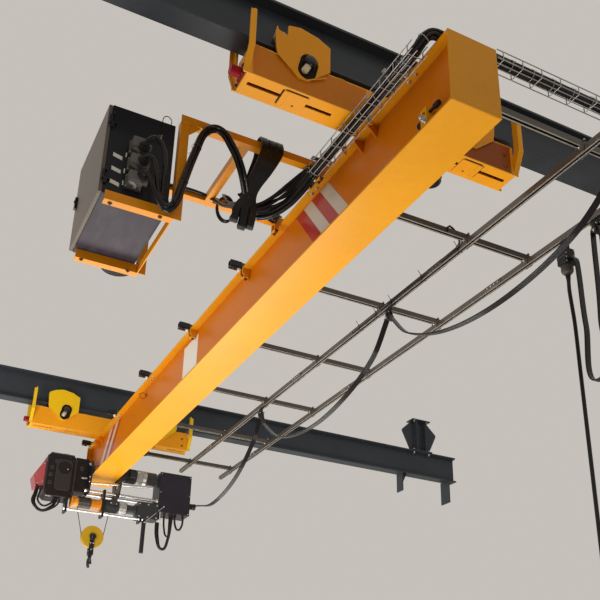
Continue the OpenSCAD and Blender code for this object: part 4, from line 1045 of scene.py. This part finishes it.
for y in (1260, 1895):
    corner_plates.append(upright(corner_plate, y + 13, 6, 1))
    clips += [upright(frame_clip, y + 30 + f * 26, 10, 1.5) for f in (-1, 1)]
    clips.append(brick((-188, y - 6, 384), (-150, y + 56, 392), 1.5))
    frame_bolts += bolts([(-168, y + 10, 384), (-168, y + 40, 384)], (0, 0, -1), 15, 9, 6)
    corner_plates += [bead((-1074, y, 446), (-1030, y, 446), 8, (0, 0, 1)),
                      bead((-1028, y + 6, 452), (-1028, y + 44, 446), 8, (0, 0, 1))]
make("frame_bolts", frame_bolts, rusty_bolt, "bridge")
# Corner plates and clips take the darker side copy of the truck paint: painted shade.
make("frame_corner_plates", corner_plates, side_shade_paint, "bridge")
make("frame_clips", clips, side_shade_paint, "bridge")

# Horn
# A flat round horn with a ringed black face on a small bracket at the cabinet's far wall.
horn_x, horn_y = -1165, 2053
dress(housing, "cabinet_beacon")
make("horn_rings", [hoop((horn_x, horn_y, -125.5), (0, 0, 1), r, 5, 4, 40, 8)
                    for r in (20, 38, 56, 74, 92)]
     + [hoop((horn_x, horn_y, z), (0, 0, 1), 99, 6, 4, 44, 8) for z in (-121, -108, -95)]
     + bolts([(horn_x + d, 1975, -91.2) for d in (-20, 20)], (0, 0, -1), 12, 7),
     housing, "bridge")

# Rails and arms
# Rolled C-rail of dull zinc: seven arms lie across the girder and carry the hoist's rail and
# the pendant's rail on clamps. Black clips with a white cap hold the arms' left ends.
# The zinc's lighter rim is partly edge wear and partly painted highlight along the rails' edges.
zinc = finish("zinc", (0.16, 0.14, 0.122), 0.38, metallic=0.7, Tone=0.5, Grain=60.0, Bump=0.0,
              Draw=(1, 0.03, 1), Rim=(0.6, 0.57, 0.53), Wear=0.5, Edge=0.0008, Settled=0.1)
zinc_across = finish("zinc_across", (0.12, 0.104, 0.09), 0.4, metallic=0.7, Tone=0.5, Grain=60.0,
                     Bump=0.0, Draw=(0.03, 1, 1), Rim=(0.55, 0.52, 0.48), Wear=0.5, Edge=0.0008,
                     Settled=0.1)
lip_highlight_zinc = finish("lip_highlight_zinc", (0.42, 0.4, 0.37), 0.36, metallic=0.8, Tone=0.6, Grain=60.0,
                  Bump=0.0, Edge=0.0006)
dress(zinc, "hoist_rail", "pendant_rail")
dress(zinc_across, "festoon_arms")
rail_xs, arm_ys = (hoist_rail_x, pendant_rail_x), [352 + 1096 * k for k in range(7)]
clamp_bolts, arm_clips, clip_caps, rail_joints = [], [], [], []
for y in arm_ys:
    for x in rail_xs:
        clamp_bolts += bolts([(x + a * 23, y, 441) for a in (-1, 1)], (0, 0, -1), 13, 9, 8)
        clamp_bolts += bolts([(x, y - 24, 484), (x, y + 24, 484)], (0, 0, 1), 13, 9, 6)
        rail_joints += [brick((x + a, y - 34, 396), (x + a + 3.4, y + 34, 440), 1)
                        for a in (-24, 20.6)]
    for s in (-1, 1):
        for z, up in ((444, 1), (432, -1)):
            clamp_bolts += bolts([(s * 120, y - 30, z), (s * 120, y + 30, z)],
                                 (0, 0, up), 15, 9, 6)
    arm_clips += [brick((-243, y - 24, 434), (-153, y - 20.4, 488), 1),
                  brick((-243, y + 20.4, 434), (-153, y + 24, 488), 1),
                  brick((-243, y - 24, 432), (-153, y + 24, 443.6), 2),
                  brick((-243, y - 24, 484.4), (-186, y + 24, 490), 2)]
    arm_clips += bolts([(-205, y, 432)], (0, 0, -1), 13, 9, 5)
    clip_caps.append(turned((-170, y - 8, 432), (0, 0, -1),
                            [(0, 14), (8, 15), (15, 13), (20, 8), (21.5, 3)], 18))
for y in (1800, 4000, 6200):
    for x in rail_xs:
        for s in (-1, 1):
            rail_joints.append(brick((x + s * 22.4 - 2, y - 90, 401),
                                     (x + s * 22.4 + 2, y + 90, 439), 1))
            clamp_bolts += bolts([(x + s * 24.4, y + d, 420) for d in (-60, -20, 20, 60)],
                                 (s, 0, 0), 9, 6)
make("clamp_bolts", clamp_bolts, fastener, "bridge")
make("rail_joints", rail_joints, zinc, "bridge")
make("arm_clips", arm_clips, pin_black, "bridge")
make("clip_caps", clip_caps, plate_white, "bridge")
# Painted highlight: thin bright strips under the lips of the rails and arms stand for the light lines
# they catch.
lip_out, lip_half = 12.5, 3.8
make("rail_lip_highlights", [brick((x + s * lip_out - lip_half, 62, 399.3),
                         (x + s * lip_out + lip_half, 7213, 400.1), 0.3)
                   for x in rail_xs for s in (-1, 1)]
     + [brick((-240, y + s * lip_out - lip_half, 443.3),
              (1618, y + s * lip_out + lip_half, 444.1), 0.3)
        for y in arm_ys for s in (-1, 1)], lip_highlight_zinc, "bridge")
make("rail_end_caps", [brick((x - 21, y0, 399), (x + 21, y1, 441), 3)
                       for x in rail_xs for y0, y1 in ((56, 60), (7215, 7219.8))]
     + [brick((1620, y - 21, 443), (1624, y + 21, 485), 3) for y in arm_ys],
     pin_black, "bridge")

# Rail cable
# A thin control cable that drops from an arm to the hoist's rail and runs along it under
# black ties with long tails, past the first saddle.
rail_lead_line = smooth(at([
    (892, 1428, 452), (900, 1424, 494), (930, 1432, 502), (985, 1452, 488), (1030, 1474, 452),
    (1040, 1500, 428), (1041, 1560, 421), (1041, 1963, 421), (1041, 2340, 421),
    (1041, 2700, 421), (1041, 2980, 421)]), 0.03)
lay_cable("rail_lead", rail_lead_line, 0.015, (0, 0, 1), 10)
strap = np.array([(-30, 0), (-29, 22), (22, 22), (22, -22), (-27, -22)]) + (hoist_rail_x, 420)
rail_ties = []
for y in (1525, 1963, 2375, 2599, 2860):
    tails = ([(1044, y, 400), (1037, y - 4, 376), (1040, y - 12, 356)],
             [(1044, y + 2, 440), (1034, y + 6, 462), (1030, y + 14, 480)])
    rail_ties.append(upright(strap, y + 4, 8, 0.8))
    rail_ties += [sweep(at(tail), oval(0.006, 0.002, 6), (0, 1, 0)) for tail in tails]
make("rail_ties", rail_ties, pin_black, "bridge")

# Wire trays
# Dull zinc wire welded into channels, on small angle brackets under the flange.
wire_zinc = finish("wire_zinc", (0.36, 0.355, 0.345), 0.36, metallic=0.9, Tone=0.2, Grain=120.0,
                   Bump=0.0, Edge=0.0006)
dress(wire_zinc, "cable_trays")
lug_outline, lug_ys = [(-152, 432), (-152, 376), (-168, 372), (-182, 392), (-182, 432)], (700, 990)
# The lugs take the darker side copy of the truck paint: painted shade.
make("tray_lugs", [upright(lug_outline, y + 4, 8, 1) for y in lug_ys], side_shade_paint,
     "bridge")
make("tray_lug_bolts", bolts([(-170, y - 4, 400) for y in lug_ys], (0, -1, 0), 15, 9, 5),
     fastener, "bridge")

# Festoon saddles
# Black carriers on rollers with a round seat for the flat cable, a clamp strip and two nuts.
saddles = [(f"{kind}_saddle_{number + 1}", x, ys[number])
           for kind, x, ys in (("festoon", hoist_rail_x, hoist_saddles),
                               ("pendant", pendant_rail_x, pendant_saddles)) for number in (0, 1)]
dress(housing, "pendant_box", "pendant_station", *[name for name, x, y in saddles])
for body, x, y in saddles:
    trim = bolts([(x + s * 18, y + f * 22, 354) for s, f in corners], (0, 0, -1), 9, 6, 3)
    for s in (-1, 1):
        trim += bolts([(x + s * 28, y, 308)], (s, 0, 0), 14, 8, 4)
    make(f"{body}_nuts", trim, fastener, body)
    make(f"{body}_cheeks", [hoop((x + s * 27, y, 308), (1, 0, 0), 18, 4, 6, 28, 8)
                            for s in (-1, 1)], housing, body)

# Pendant plug
# A black junction box on rollers with a ribbed round plug under it, screws and a lid seam.
plug_brown = finish("plug_brown", (0.06, 0.05, 0.045), 0.4, coat=0.1, Tone=0.3, Grain=300.0)
plug_x, plug_y = 1600, 1076
plug_parts = [turned((plug_x, plug_y, 199), (0, 0, -1),
                     [(0, 37), (5, 40), (46, 40), (52, 37), (60, 30), (64, 22)], 36)]
plug_parts += [hoop((plug_x, plug_y, z), (0, 0, 1), 40, 6, 4, 36, 8) for z in (186, 174, 162)]
plug_parts += [brick((1552, 1035, 254), (1648, 1117, 260), 2),
               hoop((plug_x, plug_y, 130), (0, 0, 1), 18.5, 8, 3, 26, 8)]
make("pendant_plug_rings", plug_parts, plug_brown, "pendant")
make("pendant_screws", bolts([(plug_x + s * 36, 1038, z) for s in (-1, 1)
                              for z in (212, 242, 272, 308)], (0, -1, 0), 8, 5)
     + bolts([(1555, 1062, 290), (1555, 1090, 290)], (-1, 0, 0), 8, 5),
     fastener, "pendant")

# Push-button station
# A rubbery box with five push buttons, one green, two white and two yellow, each in a bright
# ring, and ribs along its sides for the hand.
station_x, button_profile = 1606, [(0, 11), (9, 11), (12, 10), (14, 7), (14.6, 2)]
button_rows = {"buttons_white": ((0.55, 0.53, 0.5), (-2318, -2362)),
               "buttons_yellow": ((0.7, 0.42, 0.02), (-2406, -2450)),
               "button_green": ((0.02, 0.25, 0.06), (-2274,))}
for name, (colour, levels) in button_rows.items():
    make(name, [turned((station_x, 1052, z), (0, -1, 0), button_profile, 22) for z in levels],
         finish(name, colour, 0.35, coat=0.3, Tone=0.15, Grain=240.0), "pendant")
make("button_collars", [hoop((station_x, 1049, z), (0, 1, 0), 15, 6, 3.4, 26, 8)
                        for z in range(-2274, -2451, -44)], fastener, "pendant")
make("station_ribs", [brick((station_x + s * 38 - 1.5, 1052, z),
                            (station_x + s * 38 + 1.5, 1100, z + 5), 1)
                      for s in (-1, 1) for z in range(-2470, -2250, 14)]
     + [hoop((station_x, 1076, z), (0, 0, 1), 21.4, 6, 4, 26, 8)
        for z in range(-2222, -2173, 12)], collar_rubber, "pendant")

# Trolley
# Black side plates that hang from the girder's bottom flange on four wheels, pulled together
# by two bright tie rods, and brackets that carry the hoist and the lower rod.
chrome = finish("chrome", (0.66, 0.66, 0.67), 0.24, metallic=1.0, Tone=0.2, Grain=300.0, Bump=0.0,
                Draw=(0.1, 1, 1), Edge=0.0006, Wear=0.1)
dress(chrome, "tie_rods")
hoist_y, rod_z, plate_x = 6730, -170, 176
rod_nuts, trolley_bolts = [], []
for y in (hoist_y - 40, hoist_y + 100):
    for s in (-1, 1):
        rod_nuts += [turned((s * plate_x, y, rod_z), (s, 0, 0), [(0, 27), (4, 27), (4.6, 24)], 24),
                     turned((s * (plate_x + 4), y, rod_z), (s, 0, 0),
                            [(0, 24), (22, 24), (25, 20)], 6)]
    rod_nuts += [turned((620, y, rod_z), (1, 0, 0), [(0, 24), (24, 24), (28, 20)], 6),
                 turned((560, y, rod_z), (1, 0, 0), [(0, 21), (14, 21)], 24)]
for x in (-398, 6, 440):
    rod_nuts += [turned((x + d, hoist_y - 62, -412), (s, 0, 0), [(0, 21), (14, 21), (17, 17)], 6)
                 for d, s in ((0, -1), (26, 1))]
for s in (-1, 1):
    for y in (hoist_y - 130, hoist_y + 130):
        trolley_bolts.append(turned((s * plate_x, y, 110), (s, 0, 0),
                                    [(0, 20), (4, 22), (12, 22), (14, 18)], 22))
        trolley_bolts += bolts([(s * (plate_x + 14), y, 110)], (s, 0, 0), 17, 9, 4)
    trolley_bolts += bolts([(s * plate_x, hoist_y + d, z) for d in (-150, 0, 150)
                            for z in (-40, -95)], (s, 0, 0), 15, 9, 4)
make("cross_shaft", [turned((-159, hoist_y - 104, -98), (1, 0, 0.088),
                            [(-18, 14), (0, 16), (700, 16), (704, 11), (722, 11)], 22)]
     + [turned((x, hoist_y - 40, rod_z), (1, 0, 0),
               [(0, 17), (3, 19), (long - 3, 19), (long, 17)], 26)
        for x, long in ((-158, 316), (204, 351))], chrome, "hoist")
make("rod_nuts", rod_nuts, chrome, "hoist")
make("trolley_bolts", trolley_bolts, fastener, "hoist")

# Hoist gearbox
# A cast black gear case with ribbed edges, a round cover, plugs and a ring of bolts.
gear_black = finish("gear_black", (0.011, 0.011, 0.012), 0.4, coat=0.1, Tone=0.35, Grain=260.0,
                    Bump=0.4, Rim=(0.16, 0.15, 0.14), Wear=0.4)
gear_edges = finish("gear_edges", (0.03, 0.028, 0.027), 0.34, coat=0.15, Tone=0.35, Grain=260.0,
                    Bump=0.3, Rim=(0.25, 0.23, 0.2), Wear=0.6)
dress(gear_black, "hoist_gearbox")
near_face, near_way = hoist_y - 60, (0, -1, 0)
gear_cover = [(-516, 132), (-388, 132), (-368, 108), (-368, -196), (-388, -220), (-516, -220),
              (-540, -190), (-540, 60)]
gear_plugs = ((-541, 102), (-586, 23), (-588, -57), (-589, -146))
gear_trim = [upright(gear_cover, near_face - 6, 7, 2.5)]
gear_trim += [hoop((x, near_face - 3, z), (0, 1, 0), 19, 10, 8, 24, 8) for x, z in gear_plugs]
gear_trim += [turned((x, near_face, z), near_way, [(0, 10), (4, 10), (6, 7)], 12)
              for x, z in gear_plugs]
gear_trim += [brick((-324, near_face - 4, z), (-318, hoist_y + 180, z + 12), 2)
              for z in range(-240, 150, 34)]
gear_trim += [brick((x0, near_face - 8, z0), (x1, near_face + 20, z1), 3)
              for x0, z0, x1, z1 in ((-645, -262, -632, 162), (-338, -262, -325, 162),
                                     (-612, 186, -358, 199), (-602, -294, -358, -281))]
gear_trim += [brick((-178, near_face + 12, z), (-166, hoist_y + 140, z + 14), 2)
              for z in range(-180, 150, 32)]
gear_trim += [hoop((-256, near_face + 9, 69), (0, 1, 0), 22, 10, 8, 26, 8),
              turned((-256, near_face + 10, 69), near_way, [(0, 12), (8, 12), (10, 9)], 16)]
make("gear_ribs", gear_trim, gear_edges, "hoist")
case_bolts = ((-615, 140), (-615, -240), (-350, 140), (-350, -240), (-480, -268), (-400, 175),
              (-540, 175))
make("gear_case_bolts", bolts([(x, near_face, z) for x, z in case_bolts], near_way, 15, 10),
     gear_black, "hoist")
gear_bolts = bolts([(-172, hoist_y + d, z) for d in (-50, 40, 130) for z in range(-170, 131, 60)],
                   (1, 0, 0), 13, 9)
gear_bolts += [turned((-254, near_face + 8, -40), (1, 0, 0.1), [(0, 12), (66, 12), (68, 10)], 18),
               turned((-415, near_face - 6, 26), near_way, [(0, 11), (7, 11), (10, 7)], 6)]
make("gear_bolts", gear_bolts, fastener, "hoist")
make("gear_foot_strip", [brick((-618, near_face - 4, -301), (-560, near_face + 8, -292), 1.5),
                         brick((-470, near_face - 4, 197), (-420, near_face + 30, 206), 1.5)],
     chrome, "hoist")

# Brake cover
# A folded red cover with a raised pane and screws on the gearbox's outer end.
red_cover = finish("red_cover", (0.4, 0.075, 0.085), 0.36, coat=0.25, Tone=0.25, Grain=300.0,
                   Rim=(0.62, 0.2, 0.2), Wear=0.5)
dress(red_cover, "brake_box")
pane_outline = [(-648, 78), (-668, 78), (-748, -76), (-720, -186), (-650, -160)]
pane_screws = ((-664, 60), (-736, -76), (-714, -168), (-660, -146))
make("brake_cover_pane", [upright(pane_outline, hoist_y - 40.2, 5, 1.5)], red_cover, "hoist")
make("brake_cover_screws", bolts([(x, hoist_y - 45, z) for x, z in pane_screws], near_way, 9, 5),
     fastener, "hoist")

# Drum
# An orange rope drum with wound steel rope, between two flanges.
drum_paint = finish("drum_paint", (0.78, 0.3, 0.012), 0.36, coat=0.3, Tone=0.2, Grain=200.0,
                    Rim=(0.95, 0.6, 0.2), Wear=0.5)
dress(drum_paint, "hoist_drum")
rope_steel = finish("rope_steel", (0.12, 0.11, 0.1), 0.42, metallic=0.9, Tone=0.4, Grain=900.0,
                    Bump=0.5)
drum_z, rope_d, winds, wind_pitch, wind_radius = -300, 9, 15, 9.6, 59.6


def lobed(wide, lobes):
    """The section of a wire rope: a circle whose radius swells once for each strand."""
    angle = np.linspace(0, 2 * math.pi, lobes * 4, endpoint=False)
    radius = wide / 2 * (0.9 + 0.1 * np.cos(angle * lobes))
    return np.stack([np.cos(angle) * radius, np.sin(angle) * radius], axis=1) / 1000


wind = np.linspace(0, winds * 2 * math.pi, winds * 20)
wound = at(np.stack([-252 + wind_pitch * wind / (2 * math.pi), hoist_y + wind_radius * np.cos(wind),
                     drum_z + wind_radius * np.sin(wind)], axis=1))
make("wound_rope", [sweep(wound, lobed(rope_d, 5), (1, 0, 0))], rope_steel, "hoist")
make("drum_hoops", [hoop((x, hoist_y, drum_z), (1, 0, 0), 72, 8, 7, 40, 8) for x in (-326, -4)]
     + [hoop((x, hoist_y, drum_z), (1, 0, 0), 56, 5, 5, 36, 6) for x in range(-88, -31, 14)],
     drum_paint, "hoist")

# Motors
# Ribbed motors on the trolley: the hoist's below beside the drum, and the travel motor above
# it with a bright ribbed end, both with fan covers and terminal boxes.
dress(motor_paint, "hoist_motor", "travel_motor")
cast_silver = finish("cast_silver", (0.55, 0.55, 0.54), 0.34, metallic=0.9, Tone=0.3, Grain=260.0,
                     Bump=0.3)
rightward, travel_y, travel_z = (1, 0, 0), hoist_y + 80, 110
make("motor_ribs", [ribbed((40, hoist_y, drum_z), rightward, 65, 7, 150, 34),
                    ribbed((262, travel_y, travel_z), rightward, 78, 7, 120, 38),
                    turned((410, hoist_y, drum_z), (-1, 0, 0),
                           [(0, 52), (6, 56), (26, 56), (30, 52)], 30),
                    brick((90, hoist_y - 96, -292), (170, hoist_y - 62, -232), 4),
                    brick((300, hoist_y - 34, 70), (380, hoist_y + 4, 140), 4)],
     motor_paint, "hoist")
make("motor_silver", [ribbed((392, travel_y, travel_z), rightward, 80, 6, 74, 40),
                      ribbed((206, hoist_y, drum_z), rightward, 65.5, 6, 82, 34),
                      turned((466, travel_y, travel_z), rightward,
                             [(0, 84), (5, 86), (40, 86), (46, 82)], 36),
                      hoop((508, travel_y, travel_z), rightward, 82.5, 6, 4, 36, 8)],
     cast_silver, "hoist")
make("motor_block_bolts", bolts([(x, hoist_y - 85, z) for x in (430, 530, 630)
                                 for z in (-235, -380)], near_way, 13, 8)
     + bolts([(x, hoist_y - 96, z) for x in (98, 162) for z in (-284, -240)], near_way, 8, 5),
     fastener, "hoist")
make("motor_fans", [hoop((626, travel_y, travel_z), rightward, r, 4, 4, 32, 6)
                    for r in (20, 36, 52, 68)], motor_paint, "hoist")

# Control box
# A black steel box with a folded lid, screws, a bare white tag under it, a thin bright rod
# that braces it, and the round rubber-covered limit switch.
box_violet = finish("box_violet", (0.022, 0.018, 0.027), 0.38, coat=0.15, Tone=0.3, Grain=500.0,
                    Bump=0.2, Rim=(0.14, 0.12, 0.15))
dress(box_violet, "control_box")
make("box_lid", [upright([(652, -288), (1026, -288), (1026, 177), (652, 177)], hoist_y - 60.2, 3.5),
                 brick((648.6, hoist_y - 64, -294), (1029.4, hoist_y - 40, -286), 1.5),
                 brick((648.6, hoist_y - 64, 176), (1029.4, hoist_y - 40, 183), 1.5)],
     box_violet, "hoist")
make("box_screws", bolts([(x, hoist_y - 63, z) for x in (664, 1014) for z in (-276, -60, 165)],
                         near_way, 9, 5)
     + bolts([(1098, hoist_y - 52, z) for z in (-193, -157)], rightward, 9, 5),
     fastener, "hoist")
make("box_tag", [brick((640, hoist_y - 70, -420), (712, hoist_y - 66, -385), 1),
                 brick((672, hoist_y - 70, -386), (680, hoist_y - 66, -292), 1)],
     plate_white, "hoist")
brace_foot, brace_head = (500, hoist_y - 92, -446), (720, hoist_y - 72, -226)
make("box_brace", [sweep(at([brace_foot, brace_head]), oval(0.011, 0.011, 10), (0, 1, 0)),
                   turned(brace_foot, (-0.7, 0, -0.7), [(-4, 9), (8, 9), (10, 7)], 6),
                   turned((712, hoist_y - 73, -234), (0.7, 0, 0.7),
                          [(-4, 9), (10, 9), (12, 7)], 6)], chrome, "hoist")
make("limit_sleeve", [hoop((516, hoist_y, z), (0, 0, 1), 24.2, 8, 4, 26, 8)
                      for z in range(-412, -485, -18)]
     + [turned((516, hoist_y, -755), (0, 0, -1), [(0, 24.8), (14, 25.2), (20, 22)], 24)],
     pin_black, "hoist")

# Hoist ropes
# Laid wire rope from the drum round the sheave and up to its anchor.
sheave_x, sheave_z, rope_stops, rope_turn = -48, -670, 46, 11
for number, (low_x, high_x, high_z) in enumerate(((-163.8, -250, -357), (67.8, 110, -366.5))):
    rope_line = at(np.linspace((high_x, hoist_y, high_z), (low_x, hoist_y, sheave_z), rope_stops))
    across, upward = frames(rope_line, np.array((0.0, 1.0, 0.0)))
    section, turn = lobed(rope_d, 6), np.linspace(0, rope_turn, rope_stops)[:, None]
    u = section[None, :, 0] * np.cos(turn) - section[None, :, 1] * np.sin(turn)
    v = section[None, :, 0] * np.sin(turn) + section[None, :, 1] * np.cos(turn)
    rings = rope_line[:, None] + u[..., None] * across[:, None] + v[..., None] * upward[:, None]
    rope = make(f"hoist_rope_{number + 1}", [loft(rings)], rope_steel, None, 60)
    if number == 0:
        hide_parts("hoist_ropes")
    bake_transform(rope)

# Hook block
# A yellow grooved sheave between black cheeks on a greased pin, and the crossbar below.
sheave_paint = finish("sheave_paint", (0.5, 0.31, 0.014), 0.32, coat=0.2, Tone=0.25, Grain=200.0,
                      Rim=(0.9, 0.7, 0.15), Wear=0.6)
dress(sheave_paint, "hook_sheave")
make("sheave_rims", [hoop((sheave_x, hoist_y + s * out, sheave_z), (0, 1, 0), *ring)
                     for out, ring in ((21, (119, 7, 6, 56, 8)), (23.6, (96, 3, 4, 50, 6)))
                     for s in (-1, 1)], sheave_paint, "hook_block")
hub_profile = [(0, 34), (4, 36), (12, 36), (15, 30), (15.5, 16)]
make("block_hub", [turned((sheave_x, hoist_y + s * 36, sheave_z), (0, s, 0), hub_profile, 28)
                   for s in (-1, 1)]
     + [turned((sheave_x, hoist_y + s * 50, sheave_z), (0, s, 0),
               [(0, 15), (6, 15), (8, 12)], 6) for s in (-1, 1)]
     + [turned((sheave_x + s * 26, hoist_y, sheave_z - 175), (s, 0, 0),
               [(0, 14), (5, 14), (7, 11)], 20) for s in (-1, 1)],
     pin_black, "hook_block")
block_bolts = []
for s in (-1, 1):
    block_bolts += bolts([(sheave_x + a, hoist_y + s * 36.4, sheave_z + b)
                          for a, b in ((-16, -70), (16, -70), (0, -140))], (0, s, 0), 11, 7)
make("block_bolts", block_bolts, fastener, "hook_block")

# Hook
# A forged black hook: nut and collar on its shank and a sprung latch across the throat.
facing = math.radians(62)
way = np.array((math.cos(facing), math.sin(facing), 0.0))
hook_mid = np.array((sheave_x, hoist_y, -955.0))
latch = [hook_mid + way * r + np.array((0, 0, z)) for r, z in ((46, 12), (28, 26), (8, 44), (-2, 52))]
make("hook_collar", [turned((sheave_x, hoist_y, z), (0, 0, -1), profile, 26)
                     for z, profile in ((-872, [(0, 19), (6, 22), (18, 22), (24, 18)]),
                                        (-896, [(0, 17), (4, 18), (12, 18), (16, 15)]))],
     pin_black, "hook")
make("hook_latch", [sweep(at(latch), oval(0.016, 0.004, 10), np.cross(way, (0, 0, 1)))],
     fastener, "hook")
